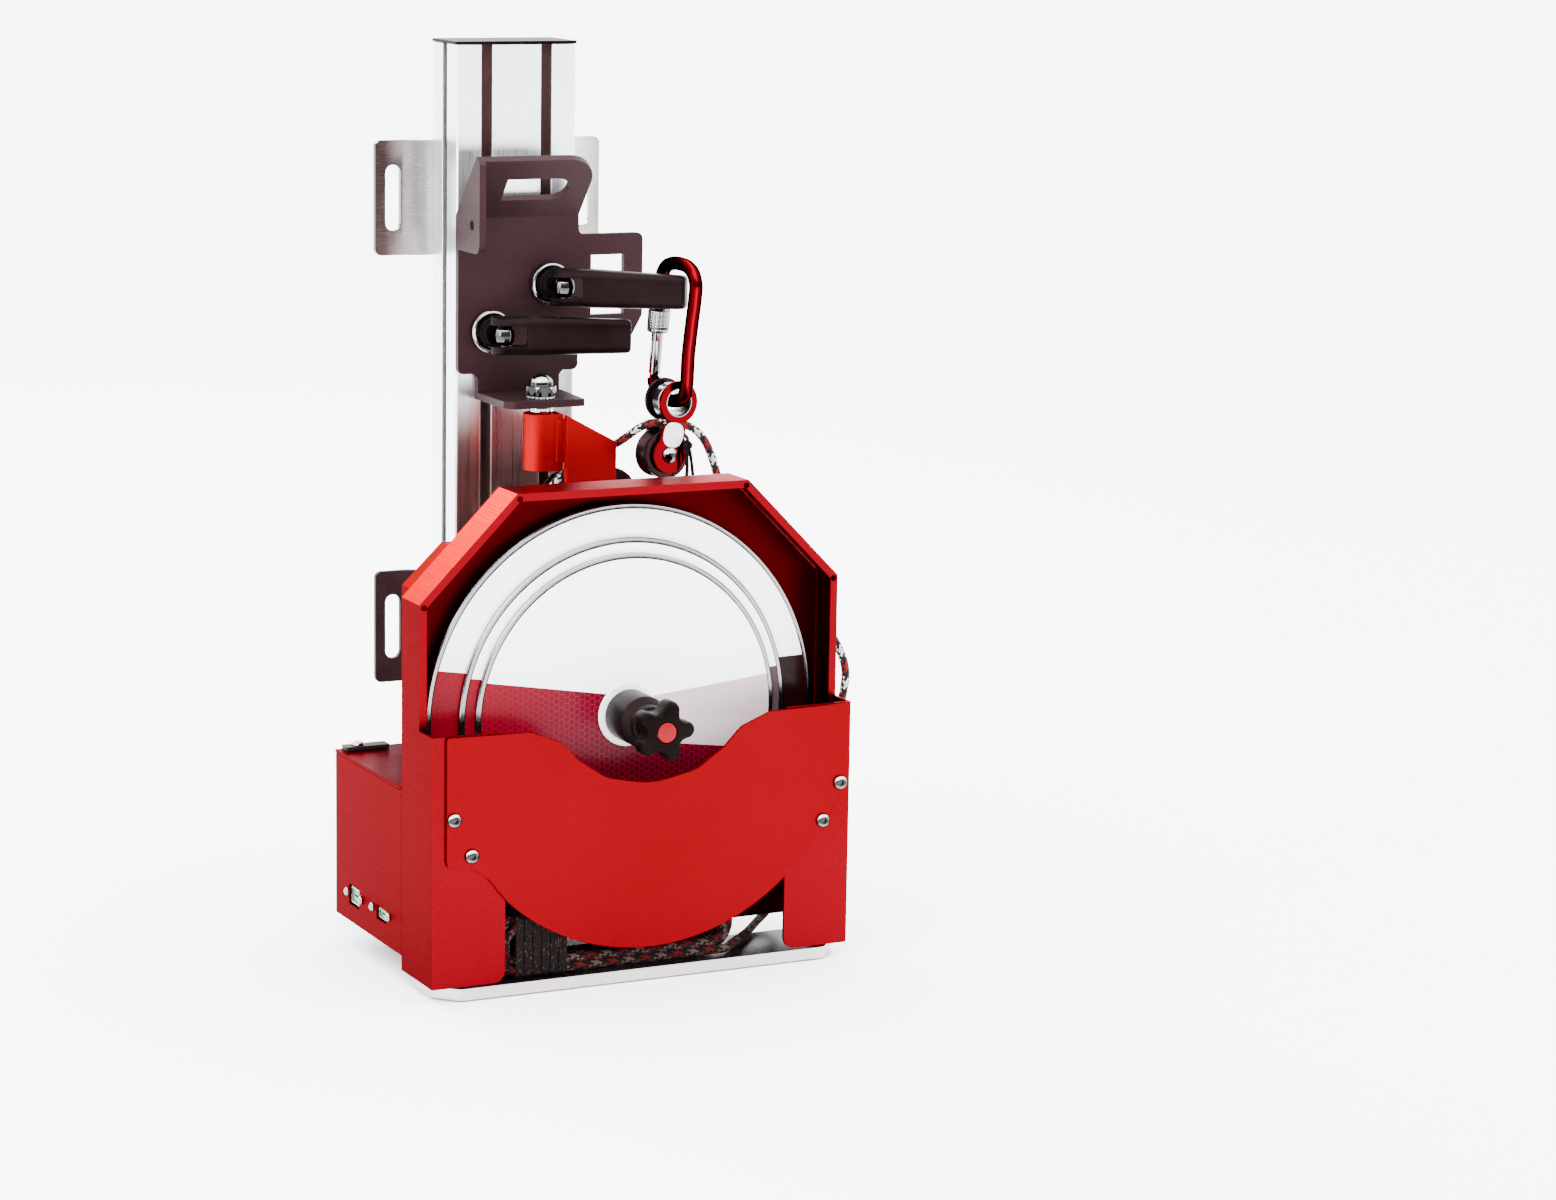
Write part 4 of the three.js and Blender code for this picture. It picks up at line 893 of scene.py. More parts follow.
# flywheel parts, turned
rim_mat = MAT["silver"]
large = disc_print("disc_print_large", (0.0058, 0.0005, 0.0008), ((-136.7, 38.7), (-3.0, 18.0)), ((20.0, 26.0), (137.5, 29.3)), ((10.0, -20.0), (72.6, -30.0)))
medium = disc_print("disc_print_medium", (0.040, 0.026, 0.030), ((-117.7, 33.0), (-3.0, 15.0)), ((23.4, 14.0), (115.0, 24.0)), ((10.0, -20.0), (72.6, -30.0)))
small = disc_print("disc_print_small", (0.37, 0.29, 0.31), ((-117.7, 31.7), (-3.0, 12.9)), ((23.4, 11.5), (108.5, 20.2)), ((47.9, -24.8), (72.6, -28.1)))
for nd, rad, y0, mt in (("large_disc", 142.5, -187.0, large), ("medium_disc", 120.0, -191.3, medium), ("small_disc", 110.0, -195.6, small)):
    prof = [(8.3, y0), (rad - 3.7, y0), (rad - 3.0, y0 + 0.25), (rad - 0.9, y0 + 0.25), (rad, y0 + 1.0), (rad, y0 + 3.2), (rad - 0.8, y0 + 4.0), (8.3, y0 + 4.0), (8.3, y0)]
    bm = lathe_bm(prof, "Y", (0, AXIS_Z), 180, lambda r_, a_, rad=rad, y0=y0: (1 if r_ < rad - 3.72 else 2 if r_ < rad - 3.05 else 0) if a_ < y0 + 0.24 else 0, r=0.0)
    ob = finish_bm(bm, nd + "_v", "flywheel", [rim_mat, mt, MAT["black_metal"]], sharp=30)
    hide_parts(nd)

ob = finish_bm(lathe_bm([(8.3, -197.4), (21.2, -197.4), (21.8, -196.9), (21.8, -195.9), (8.3, -195.9), (8.3, -197.4)], "Y", (0, AXIS_Z), 96, r=0.2), "hub_ring_v", "flywheel", MAT["white_print"])
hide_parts("hub_ring")
ob = finish_bm(lathe_bm([(8.3, -233.5), (11.4, -233.5), (12.4, -232.6), (13.2, -228.4), (16.6, -224.4), (17.4, -223.0), (17.6, -221.0), (17.6, -197.7), (8.3, -197.7), (8.3, -233.5)], "Y", (0, AXIS_Z), 96, r=0.6), "hub_v", "flywheel", MAT["black_satin"])
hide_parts("hub")
ob = finish_bm(lathe_bm([(0, -252.6), (5.6, -252.6), (5.6, -236), (8, -236), (8, -182.4), (20, -182.4), (20, -178.2), (8, -178.2), (8, -54), (0, -54)], "Y", (0, AXIS_Z), 64, r=0.4), "flywheel_shaft_v", "flywheel", MAT["steel"])
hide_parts("flywheel_shaft")

# star knob: five rounded lobes with crowned front, and a red cap
KPH = math.radians(90 - 16)


def knob_r(t):
    c = math.cos(5 * (t - KPH))
    return 17.3 + 3.7 * (1 if c > 0 else -1) * abs(c) ** 0.72


bm = bmesh.new()
N = 160
sections = [(-243.5, 0.90), (-244.6, 0.965), (-246.2, 1.0), (-256.0, 1.0), (-257.8, 0.965), (-259.0, 0.90)]
rings = []
for (yy, k) in sections:
    ring = []
    for i in range(N):
        t = 2 * math.pi * i / N
        rr = knob_r(t) - (1 - k) * 18
        ring.append(bm.verts.new(P(rr * math.cos(t), yy, AXIS_Z + rr * math.sin(t))))
    rings.append(ring)
for (yy, rr) in [(-259.4, 11.5), (-259.2, 7.6), (-258.2, 7.2)]:
    rings.append([bm.verts.new(P(rr * math.cos(2 * math.pi * i / N), yy, AXIS_Z + rr * math.sin(2 * math.pi * i / N))) for i in range(N)])
for (yy, rr) in [(-252.9, 7.0), (-252.9, 6.1), (-237.0, 6.1), (-236.5, 6.6), (-236.5, 10.9), (-237.0, 11.4), (-243.2, 11.4)]:
    rings.append([bm.verts.new(P(rr * math.cos(2 * math.pi * i / N), yy, AXIS_Z + rr * math.sin(2 * math.pi * i / N))) for i in range(N)])
for A, B in zip(rings, rings[1:] + rings[:1]):
    for i in range(N):
        k = (i + 1) % N
        bm.faces.new((A[i], A[k], B[k], B[i]))
bmesh.ops.recalc_face_normals(bm, faces=bm.faces)
ob = finish_bm(bm, "star_knob_v", "knob", MAT["black_plastic"], sharp=38)
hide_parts("star_knob")
ob = finish_bm(lathe_bm([(0, -260.0), (4.6, -259.85), (6.3, -259.5), (6.8, -258.9), (6.8, -258.4), (0, -258.4)], "Y", (0, AXIS_Z), 64, r=0.3), "knob_cap_v", "knob", MAT["red_plastic"])
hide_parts("knob_cap")

# cover screws: button heads with a hex socket
for i, (sx, sz) in enumerate([(-139, -53.3), (-126.6, -78.6), (145.4, -53.1), (132.7, -78.6)]):
    y = -229.2
    x, z = sx, sz + AXIS_Z
    n = 48
    bm = bmesh.new()
    rings = []
    for (rr, yy) in [(2.5, -226.75), (2.5, y), (4.6, y), (4.95, y - 0.3), (4.8, y - 1.0), (4.2, y - 1.8), (3.4, y - 2.4), (2.6, y - 2.75)]:
        rings.append([bm.verts.new(P(x + rr * math.cos(2 * math.pi * k / n), yy, z + rr * math.sin(2 * math.pi * k / n))) for k in range(n)])

    def hexr(t, r=1.55):
        t = (t + math.radians(10 * i)) % (math.pi / 3) - math.pi / 6
        return r / math.cos(t)

    for yy in (y - 2.8, y - 1.3):
        rings.append([bm.verts.new(P(x + hexr(2 * math.pi * k / n) * math.cos(2 * math.pi * k / n), yy, z + hexr(2 * math.pi * k / n) * math.sin(2 * math.pi * k / n))) for k in range(n)])
    for A, B in zip(rings, rings[1:]):
        for k in range(n):
            bm.faces.new((A[k], A[(k + 1) % n], B[(k + 1) % n], B[k]))
    bm.faces.new(rings[0])
    bm.faces.new(rings[-1])
    bmesh.ops.recalc_face_normals(bm, faces=bm.faces)
    nm = "cover_screw_%d" % (i + 1)
    ob = finish_bm(bm, nm + "_v", "housing", MAT["chrome_z"], sharp=40)
    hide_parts(nm)

# ------------------------------------------------------------------ carriage fittings
def around(mesh_ob, node):
    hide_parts(node)
    return mesh_ob


for nm, cx, cz in (("upper", 22.5, -166.8), ("lower", -22.5, -199.0)):
    y = -5.6

    def knurl(rad, al, t):
        return rad + (0.22 * math.cos(60 * t) if rad > 14.3 else 0.0)

    cup = lathe_bm([(4.3, y), (4.3, y - 3.6), (11.6, y - 3.6), (12.2, y - 6.9), (13.4, y - 7.3), (14.4, y - 6.9), (15.0, y - 6.0), (15.0, y - 1.2), (14.4, y - 0.3), (13.6, y), (4.3, y)], "Y", (cx, cz), 240, r=0.35, rad_fn=knurl)
    around(finish_bm(cup, nm + "_clamp_cup_v", "carriage", MAT["chrome"], sharp=40), nm + "_clamp_cup")
    y2 = y - 3.9
    pad = lathe_bm([(4.3, y2), (4.3, y2 - 11.2), (8.4, y2 - 11.2), (9.4, y2 - 10.0), (9.4, y2 - 6), (10.8, y2 - 5), (10.8, y2), (4.3, y2)], "Y", (cx, cz), 72, r=0.5)
    around(finish_bm(pad, nm + "_thrust_pad_v", "carriage", MAT["black_plastic"]), nm + "_thrust_pad")
    # clamp stud: shank along Y and a barrel round the vertical pin
    bm = lathe_bm([(0, -31.0), (3.9, -31.0), (3.9, 3.0), (0, 3.0)], "Y", (cx, cz), 48, r=0.2)
    me = bpy.data.meshes.new("tmp")
    bm.to_mesh(me)
    bm.free()
    bm = lathe_bm([(0, cz - 7.2), (2.8, cz - 7.2), (4.6, cz - 6.4), (6.4, cz - 4.0), (7.1, cz), (6.4, cz + 4.0), (4.6, cz + 6.4), (2.8, cz + 7.2), (0, cz + 7.2)], "Z", (cx, -34.0), 64, r=0.9)
    bm.from_mesh(me)
    bpy.data.meshes.remove(me)
    head = bmesh.ops.create_cube(bm, size=1.0)
    for v in head["verts"]:
        v.co = P(cx + v.co.x * 13.6, 5.45 + v.co.y * 3.7, cz + v.co.z * 8.0)
    around(finish_bm(bm, nm + "_clamp_stud_v", "carriage", MAT["chrome_z"], sharp=40), nm + "_clamp_stud")

# pivot stud, acorn nut
ob = finish_bm(lathe_bm([(0, -290), (5.9, -290), (5.9, -252.2), (8.4, -252.2), (8.4, -248.0), (5.9, -248.0), (5.9, -230.5), (0, -230.5)], "Z", (0, -46.0), 72, r=0.3), "pivot_stud_v", "carriage", MAT["chrome"])
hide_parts("pivot_stud")
bm = bmesh.new()
n = 72
rings = []
for (k, zz) in [(0.90, -240.3), (1.0, -239.5), (1.0, -234.6), (0.93, -233.7)]:
    ring = []
    for i in range(n):
        t = 2 * math.pi * i / n
        tt = (t + math.radians(8)) % (math.pi / 3) - math.pi / 6
        hexv = 9.5 / math.cos(tt)
        rr = min(hexv, 10.75 * (1.0 if k == 1.0 else k))
        ring.append(bm.verts.new(P(rr * math.cos(t), -46 + rr * math.sin(t), zz)))
    rings.append(ring)
for (rr, zz) in [(8.9, -233.5), (8.2, -233.3), (8.2, -231.2), (7.7, -229.3), (6.5, -227.5), (4.7, -226.0), (2.4, -225.2)]:
    rings.append([bm.verts.new(P(rr * math.cos(2 * math.pi * i / n), -46 + rr * math.sin(2 * math.pi * i / n), zz)) for i in range(n)])
for A, B in zip(rings, rings[1:]):
    for i in range(n):
        bm.faces.new((A[i], A[(i + 1) % n], B[(i + 1) % n], B[i]))
top = bm.verts.new(P(0, -46, -225.0))
for i in range(n):
    bm.faces.new((rings[-1][i], rings[-1][(i + 1) % n], top))
bot = [bm.verts.new(P(6.2 * math.cos(2 * math.pi * i / n), -46 + 6.2 * math.sin(2 * math.pi * i / n), -240.3)) for i in range(n)]
inn = [bm.verts.new(P(6.2 * math.cos(2 * math.pi * i / n), -46 + 6.2 * math.sin(2 * math.pi * i / n), -230.3)) for i in range(n)]
for A, B in ((rings[0], bot), (bot, inn)):
    for i in range(n):
        bm.faces.new((A[i], A[(i + 1) % n], B[(i + 1) % n], B[i]))
bm.faces.new(inn)
bmesh.ops.recalc_face_normals(bm, faces=bm.faces)
ob = finish_bm(bm, "acorn_nut_v", "carriage", MAT["chrome_z"], sharp=34)
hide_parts("acorn_nut")

# ------------------------------------------------------------------ levers
def lever(nm, cx, cz, ang):
    """Forked cam lever lofted from rounded sections along its length."""
    L = 88.0
    n = 40
    rot = Matrix.Rotation(-math.radians(ang), 4, "Z")
    bm = bmesh.new()

    def section(x, w0, w1, h, pw=3.6):
        ring = []
        for i in range(n):
            t = 2 * math.pi * i / n
            c, s = math.cos(t), math.sin(t)
            yy = (abs(c) ** (2 / pw)) * (1 if c >= 0 else -1)
            zz = (abs(s) ** (2 / pw)) * (1 if s >= 0 else -1)
            yv = (w0 + w1) / 2 + yy * (w1 - w0) / 2
            ring.append((x, yv, zz * h))
        return ring

    secs = []
    for x in (-10.1, -9.5, -8.3, -6.2, -3.2, 0.0, 4.0):
        w = math.sqrt(max(0.0, 10.2 ** 2 - min(x, 0.0) ** 2))
        secs.append(section(x, -w, w if x <= 0 else 10.0, 13.4))
    secs += [section(10, -9.6, 9.4, 13.4), section(15.0, -8.8, 8.6, 13.4), section(18, -8.5, 8.3, 13.5), section(30, -7.4, 7.2, 13.3), section(45, -6.7, 6.7, 12.9), section(62, -6.2, 6.4, 12.4),
             section(78, -5.6, 6.2, 12.1), section(84.5, -5.3, 6.1, 11.9), section(86.8, -4.7, 5.5, 11.3), section(87.8, -3.4, 4.2, 10.0), section(88.0, -1.6, 2.4, 8.0)]
    rings = [[bm.verts.new(v_) for v_ in sec] for sec in secs]
    for A, B in zip(rings, rings[1:]):
        for i in range(n):
            bm.faces.new((A[i], A[(i + 1) % n], B[(i + 1) % n], B[i]))
    bm.faces.new(list(reversed(rings[0])))
    bm.faces.new(rings[-1])
    bmesh.ops.recalc_face_normals(bm, faces=bm.faces)
    # the window between the fork's two ears is cut through, front to back
    cut = bmesh.new()
    win = fillet([(-30, -7.6), (15.6, -7.6), (15.6, 7.6), (-30, 7.6)], 2.6, 5, True)
    lo = [cut.verts.new((p_[0], -30, p_[1])) for p_ in win]
    hi = [cut.verts.new((p_[0], 30, p_[1])) for p_ in win]
    cut.faces.new(lo)
    cut.faces.new(hi)
    for i in range(len(win)):
        k = (i + 1) % len(win)
        cut.faces.new((lo[i], lo[k], hi[k], hi[i]))
    bmesh.ops.recalc_face_normals(cut, faces=cut.faces)
    obs = []
    for q_, b_ in (("a", bm), ("b", cut)):
        me_ = bpy.data.meshes.new("lv" + q_)
        b_.to_mesh(me_)
        b_.free()
        o_ = bpy.data.objects.new("lv" + q_, me_)
        scene.collection.objects.link(o_)
        obs.append(o_)
    md = obs[0].modifiers.new("cut", "BOOLEAN")
    md.operation = "DIFFERENCE"
    md.solver = "EXACT"
    md.object = obs[1]
    dg = bpy.context.evaluated_depsgraph_get()
    dg.update()
    res = bpy.data.meshes.new_from_object(obs[0].evaluated_get(dg))
    for o_ in obs:
        m_ = o_.data
        bpy.data.objects.remove(o_)
        bpy.data.meshes.remove(m_)
    bm = bmesh.new()
    bm.from_mesh(res)
    bpy.data.meshes.remove(res)
    bmesh.ops.recalc_face_normals(bm, faces=bm.faces)
    for v in bm.verts:
        q = rot @ v.co
        v.co = P(cx + q.x, -34.0 + q.y, cz + q.z)
    ob = finish_bm(bm, nm + "_lever_v", nm + "_lever_body", MAT["black_satin"], bevel=0.9, seg=3, angle=50, sharp=38)
    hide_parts(nm + "_lever")
    return ob


lever("upper", 22.5, -166.8, 40.0)
lever("lower", -22.5, -199.0, 21.0)

# ------------------------------------------------------------------ carabiner
CX, CY, EX, EY = 86.1, -87.4, 0.208, -0.978


def cpt(d, z):
    return (CX + EX * d, CY + EY * d, z)


cpath = [[-28.3, -229.5], [-27.6, -233.5], [-24, -238.6], [-17, -242.4], [-8, -243.6], [1, -242.2], [7.0, -238.6], [9.5, -230.5], [10.8, -212], [13.6, -193], [18.2, -167], [18.6, -160], [15.6, -152.6], [9.5, -148.4], [1, -147], [-8, -147.4], [-15.4, -150.2], [-19.6, -156], [-20.6, -163.2]]
line, _ = resample(catmull([cpt(*p) for p in cpath], 12), 1.2)
bm = tube_bm(line, 4.85, 32)
ob = finish_bm(bm, "carabiner_frame_v", "carabiner", MAT["red_carabiner"], sharp=40)
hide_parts("carabiner_frame")
g0, g1 = Vector(cpt(-28.1, -227.9)), Vector(cpt(-20.8, -164.4))
gd = (g1 - g0).normalized()
gL = (g1 - g0).length
q = Vector((0, 1, 0)).rotation_difference(gd)


def gate_place(bm):
    for v in bm.verts:
        w = q @ Vector(v.co) + g0
        v.co = P(*w)


def local_lathe(prof, n, r=0.2, rad_fn=None):
    """Turned about local Y, in mm, not yet placed."""
    closed = not (prof[0][0] < 1e-6 and prof[-1][0] < 1e-6)
    pr = prof[:-1] if closed and (Vector(prof[0]) - Vector(prof[-1])).length < 1e-6 else prof
    pr = fillet(pr, r, 3, closed) if r else pr
    bm = bmesh.new()
    rings = []
    for rad, al in pr:
        if rad < 1e-6:
            rings.append([bm.verts.new((0, al, 0))])
        else:
            rings.append([bm.verts.new(((rad if rad_fn is None else rad_fn(rad, al, 2 * math.pi * i / n)) * math.cos(2 * math.pi * i / n), al, (rad if rad_fn is None else rad_fn(rad, al, 2 * math.pi * i / n)) * math.sin(2 * math.pi * i / n))) for i in range(n)])
    m_ = len(rings)
    for j in range(m_ if closed else m_ - 1):
        A, B = rings[j], rings[(j + 1) % m_]
        for i in range(n):
            k = (i + 1) % n
            if len(A) == 1 and len(B) == 1:
                continue
            vs = [A[0], B[k], B[i]] if len(A) == 1 else ([A[i], A[k], B[0]] if len(B) == 1 else [A[i], A[k], B[k], B[i]])
            bm.faces.new(vs)
    bmesh.ops.recalc_face_normals(bm, faces=bm.faces)
    return bm


# gate: a bar that splits into two legs near its hinge
bm = local_lathe([(0, 24.5), (4.1, 24.5), (4.1, gL - 0.5), (3.7, gL), (0, gL)], 40, 0.4)
for sgn in (-1, 1):
    n = 20
    rr = []
    for al in (0.6, 1.4, 25.2):
        ring = []
        for i in range(n):
            t = 2 * math.pi * i / n
            cz_ = 1.35 * math.cos(t)
            cx_ = 4.0 * math.sin(t)
            lim = math.sqrt(max(0.05, 4.1 ** 2 - (sgn * 2.7 + cz_) ** 2))
            ring.append(bm.verts.new((max(-lim, min(lim, cx_)) * (0.85 if al < 1 else 1.0), al, sgn * 2.7 + cz_ * (0.85 if al < 1 else 1.0))))
        rr.append(ring)
    for A, B in zip(rr, rr[1:]):
        for i in range(n):
            bm.faces.new((A[i], A[(i + 1) % n], B[(i + 1) % n], B[i]))
    bm.faces.new(rr[0])
    bm.faces.new(rr[-1])
bmesh.ops.recalc_face_normals(bm, faces=bm.faces)
gate_place(bm)
ob = finish_bm(bm, "carabiner_gate_v", "gate", MAT["chrome_x"], sharp=36)
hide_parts("carabiner_gate")
# red hinge tab of the frame, which stands in the gate's fork
bm = bmesh.new()
for w in bmesh.ops.create_cube(bm, size=1.0)["verts"]:
    w.co = Vector((w.co.x * (5.6 if w.co.y > 0 else 7.4), 1.2 + w.co.y * 9.6, w.co.z * 2.1))
gate_place(bm)
finish_bm(bm, "carabiner_hinge_tab", "carabiner", MAT["red_gloss"], bevel=0.7, seg=3)


def knurl2(rad, al, t):
    if rad < 6.9:
        return rad
    return rad + 0.22 * (math.sin(14 * t + al * 1.7) * math.sin(14 * t - al * 1.7)) - 0.1


prof = [(4.5, 31.2), (7.0, 31.2), (7.8, 32.1), (7.8, 34.0), (7.2, 34.3), (7.2, 34.9)] + [(7.8, 35.2 + 0.40 * i) for i in range(0, 28)] + [(7.8, 47.1), (7.0, 48.0), (4.5, 48.0), (4.5, 31.2)]
bm = local_lathe(prof, 144, 0.0, knurl2)
gate_place(bm)
ob = finish_bm(bm, "carabiner_sleeve_v", "sleeve", MAT["chrome_x"], sharp=50)
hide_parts("carabiner_sleeve")

# ------------------------------------------------------------------ pulley block
PM = Matrix.Translation((84.4, -79.6, -243.7)) @ Matrix.Rotation(math.radians(6), 4, "Z") @ Matrix.Rotation(math.radians(11.1), 4, "Y")


def pulley_place(bm):
    for v in bm.verts:
        w = PM @ Vector(v.co)
        v.co = P(*w)


def cheek_outline():
    A = -37.2
    pts = arc(0, 0, 15.2, -75.6, 255.6, 48)
    # waist sides then the lower lobe
    left = [(-9.3, -17.2), (-9.5, -22.6)]
    lobe = arc(0, A, 13.2, 140.4, 399.6, 40)
    right = [(9.5, -22.6), (9.3, -17.2)]
    raw = pts + left + lobe + right
    return raw


def plate_local(outline, holes, y0, y1):
    bm = bmesh.new()
    l0, l1 = [], []
    for pts in [outline] + holes:
        l0.append([bm.verts.new((p[0], y0, p[1])) for p in pts])
        l1.append([bm.verts.new((p[0], y1, p[1])) for p in pts])
    for loops in (l0, l1):
        edges = []
        for lp in loops:
            for i in range(len(lp)):
                edges.append(bm.edges.new((lp[i], lp[(i + 1) % len(lp)])))
        bmesh.ops.triangle_fill(bm, use_beauty=True, use_dissolve=False, edges=edges)
    for a, b in zip(l0, l1):
        for i in range(len(a)):
            k = (i + 1) % len(a)
            bm.faces.new((a[i], a[k], b[k], b[i]))
    bmesh.ops.recalc_face_normals(bm, faces=bm.faces)
    bmesh.ops.dissolve_limit(bm, angle_limit=math.radians(0.3), verts=bm.verts, edges=bm.edges)
    return bm


for nm, y0, y1, mt in (("pulley_front_cheek", -11, -8.5, "red_gloss"), ("pulley_back_cheek", 8.5, 11, "black_gloss")):
    bm = plate_local(cheek_outline(), [circle(0, 0, 9.6, 56), circle(0, -37.2, 4.3, 32)], y0, y1)
    pulley_place(bm)
    ob = finish_bm(bm, nm + "_v", "pulley", MAT[mt], bevel=0.6, seg=3, angle=45, sharp=32)
    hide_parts(nm)
# plain white label on the front cheek, with no mark on it
lab = []
for i in range(40):
    t = 2 * math.pi * i / 40
    c, s = math.cos(t), math.sin(t)
    lab.append((7.9 * (abs(c) ** 0.75) * (1 if c > 0 else -1), -22.9 + 8.6 * (abs(s) ** 0.8) * (1 if s > 0 else -1)))
bm = plate_local(lab, [], -11.14, -10.9)
pulley_place(bm)
finish_bm(bm, "pulley_label_blank", "pulley", MAT["white_print"], sharp=32)
bm = local_lathe([(9.3, -8.9), (9.6, -11.25), (10.2, -11.25), (10.5, -8.2), (10.6, -8.2), (10.6, 8.2), (10.4, 8.4), (10.2, 11.2), (9.6, 11.2), (9.3, 8.9), (9.3, -8.9)], 64, 0.15)
pulley_place(bm)
ob = finish_bm(bm, "pulley_eye_bush_v", "pulley", MAT["silver"], sharp=36)
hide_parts("pulley_eye_bush")
bm = local_lathe([(10.8, -4.4), (12.6, -4.4), (12.9, -3.6), (12.9, 3.6), (12.6, 4.4), (10.8, 4.4), (10.8, -4.4)], 64, 0.2)
pulley_place(bm)
finish_bm(bm, "pulley_eye_spacer", "pulley", MAT["silver"], sharp=36)
bm = local_lathe([(4.3, -7.6), (17.0, -7.6), (17.3, -7.2), (17.3, -6.2), (15.2, -4.4), (13.6, -2.2), (13.0, 0), (13.6, 2.2), (15.2, 4.4), (17.3, 6.2), (17.3, 7.2), (17.0, 7.6), (4.3, 7.6), (4.3, -7.6)], 80, 0.3)
for v in bm.verts:
    v.co.z += -37.2
pulley_place(bm)
ob = finish_bm(bm, "pulley_sheave_v", "sheave", MAT["black_gloss"], sharp=36)
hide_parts("pulley_sheave")
bm = local_lathe([(0, -15.4), (1.8, -15.2), (3.6, -14.4), (4.9, -13.2), (5.7, -11.7), (5.7, -11.2), (4.0, -11.2), (4.0, 11.2), (6.2, 11.2), (6.0, 12.2), (5.2, 12.8), (0, 13.0)], 64, 0.3)
for v in bm.verts:
    v.co.z += -37.2
pulley_place(bm)
ob = finish_bm(bm, "pulley_axle_v", "pulley", MAT["chrome_z"], sharp=36)
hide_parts("pulley_axle")
# thin tied cord with its knot and second tail
cordpts = [[95.6, -77.8, -268.4], [95.6, -83, -270.2], [92.6, -89.5, -271.6], [90.0, -94.6, -273.4], [89.6, -95.6, -280], [89.9, -95.6, -290], [89.4, -95.2, -300], [89.6, -94.8, -309]]
cline, clen = resample(catmull(cordpts, 10), 0.8)
bm = tube_bm(cline, 1.3, 14)
cord_ob = finish_bm(bm, "pulley_cord_v", "pulley", MAT["thin_cord"], sharp=None)
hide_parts("pulley_cord")
tail = [[90.2, -94.2, -272.6], [91.6, -94.9, -276], [93.2, -95.1, -284], [94.6, -94.9, -294], [95.2, -94.6, -305]]
line, _ = resample(catmull(tail, 10), 0.8)
tail_ob = finish_bm(tube_bm(line, 1.2, 14), "pulley_cord_tail", "pulley", MAT["thin_cord"], sharp=None)
kn = []
for i in range(61):
    t = 2 * math.pi * i / 60
    kn.append(Vector((90.2 + (1.9 + 0.9 * math.cos(3 * t)) * math.cos(2 * t), -94.9 + 1.3 * math.sin(3 * t), -273.2 + (1.9 + 0.9 * math.cos(3 * t)) * math.sin(2 * t))))
line, _ = resample(kn, 0.6)
knot_ob = finish_bm(tube_bm(line, 1.15, 12), "pulley_cord_knot", "pulley", MAT["thin_cord"], sharp=None)
print("thin cord %.3f m" % (clen / 1000.0))

# ------------------------------------------------------------------ guide wheel
ob = finish_bm(lathe_bm([(4.2, -58.3), (21.2, -58.3), (22.0, -57.6), (21.0, -56.0), (19.8, -54.6), (19.6, -53.7), (19.8, -52.8), (21.0, -51.2), (22.0, -49.8), (21.4, -49.2), (4.2, -49.2), (4.2, -58.3)], "Y", (25.5, -317), 96, r=0.3), "guide_wheel_v", "guide", MAT["black_plastic"])
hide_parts("guide_wheel")

# ------------------------------------------------------------------ sockets on the rear box
def box_bm(x0, x1, y0, y1, z0, z1):
    bm = bmesh.new()
    v = bmesh.ops.create_cube(bm, size=1.0)["verts"]
    for w in v:
        w.co = P((x0 + x1) / 2 + w.co.x * (x1 - x0), (y0 + y1) / 2 + w.co.y * (y1 - y0), (z0 + z1) / 2 + w.co.z * (z1 - z0))
    return bm


def socket(y0, y1, z0, z1, name, body="housing"):
    """An open metal shell with its contact tongue."""
    bm = bmesh.new()
    outer = fillet([(y0, z0), (y1, z0), (y1, z1), (y0, z1)], 0.8, 4, True)
    cy, cz = (y0 + y1) / 2, (z0 + z1) / 2
    inner = [(cy + (p[0] - cy) * 0.88, cz + (p[1] - cz) * 0.80) for p in outer]
    xs = (-152.6, -146.9)
    O0 = [bm.verts.new(P(xs[0], *p)) for p in outer]
    O1 = [bm.verts.new(P(xs[1], *p)) for p in outer]
    I0 = [bm.verts.new(P(xs[0], *p)) for p in inner]
    I1 = [bm.verts.new(P(xs[1] - 1.2, *p)) for p in inner]
    n_ = len(outer)
    for i in range(n_):
        k = (i + 1) % n_
        bm.faces.new((O0[i], O0[k], O1[k], O1[i]))
        bm.faces.new((O0[k], O0[i], I0[i], I0[k]))
        bm.faces.new((I0[k], I0[i], I1[i], I1[k]))
    bm.faces.new(O1)
    bm.faces.new(I1)
    bmesh.ops.recalc_face_normals(bm, faces=bm.faces)
    finish_bm(bm, name + "_shell", body, MAT["steel"], sharp=36)
    tg = box_bm(-151.6, -147.6, cy - (y1 - y0) * 0.3, cy + (y1 - y0) * 0.3, cz - 0.9, cz + 0.7)
    finish_bm(tg, name + "_tongue", body, MAT["socket"], bevel=0.2, seg=2)


board = refine("port_board", MAT["board"], 0.2)
socket(-91.0, -76.0, -581.6, -570.2, "port_one")
socket(-141.6, -127.8, -579.2, -572.8, "port_two")
for i, yy in enumerate((-70.4, -96.6, -118.2, -148.2)):
    zz = -575.5 if i < 2 else -574.6
    bm = lathe_bm([(0, -156.0), (1.2, -155.9), (2.4, -155.3), (2.9, -154.4), (2.9, -153.9), (0, -153.9)], "X", (yy, zz), 40, r=0.2)
    finish_bm(bm, "port_screw_%d" % (i + 1), "housing", MAT["silver"], sharp=36)
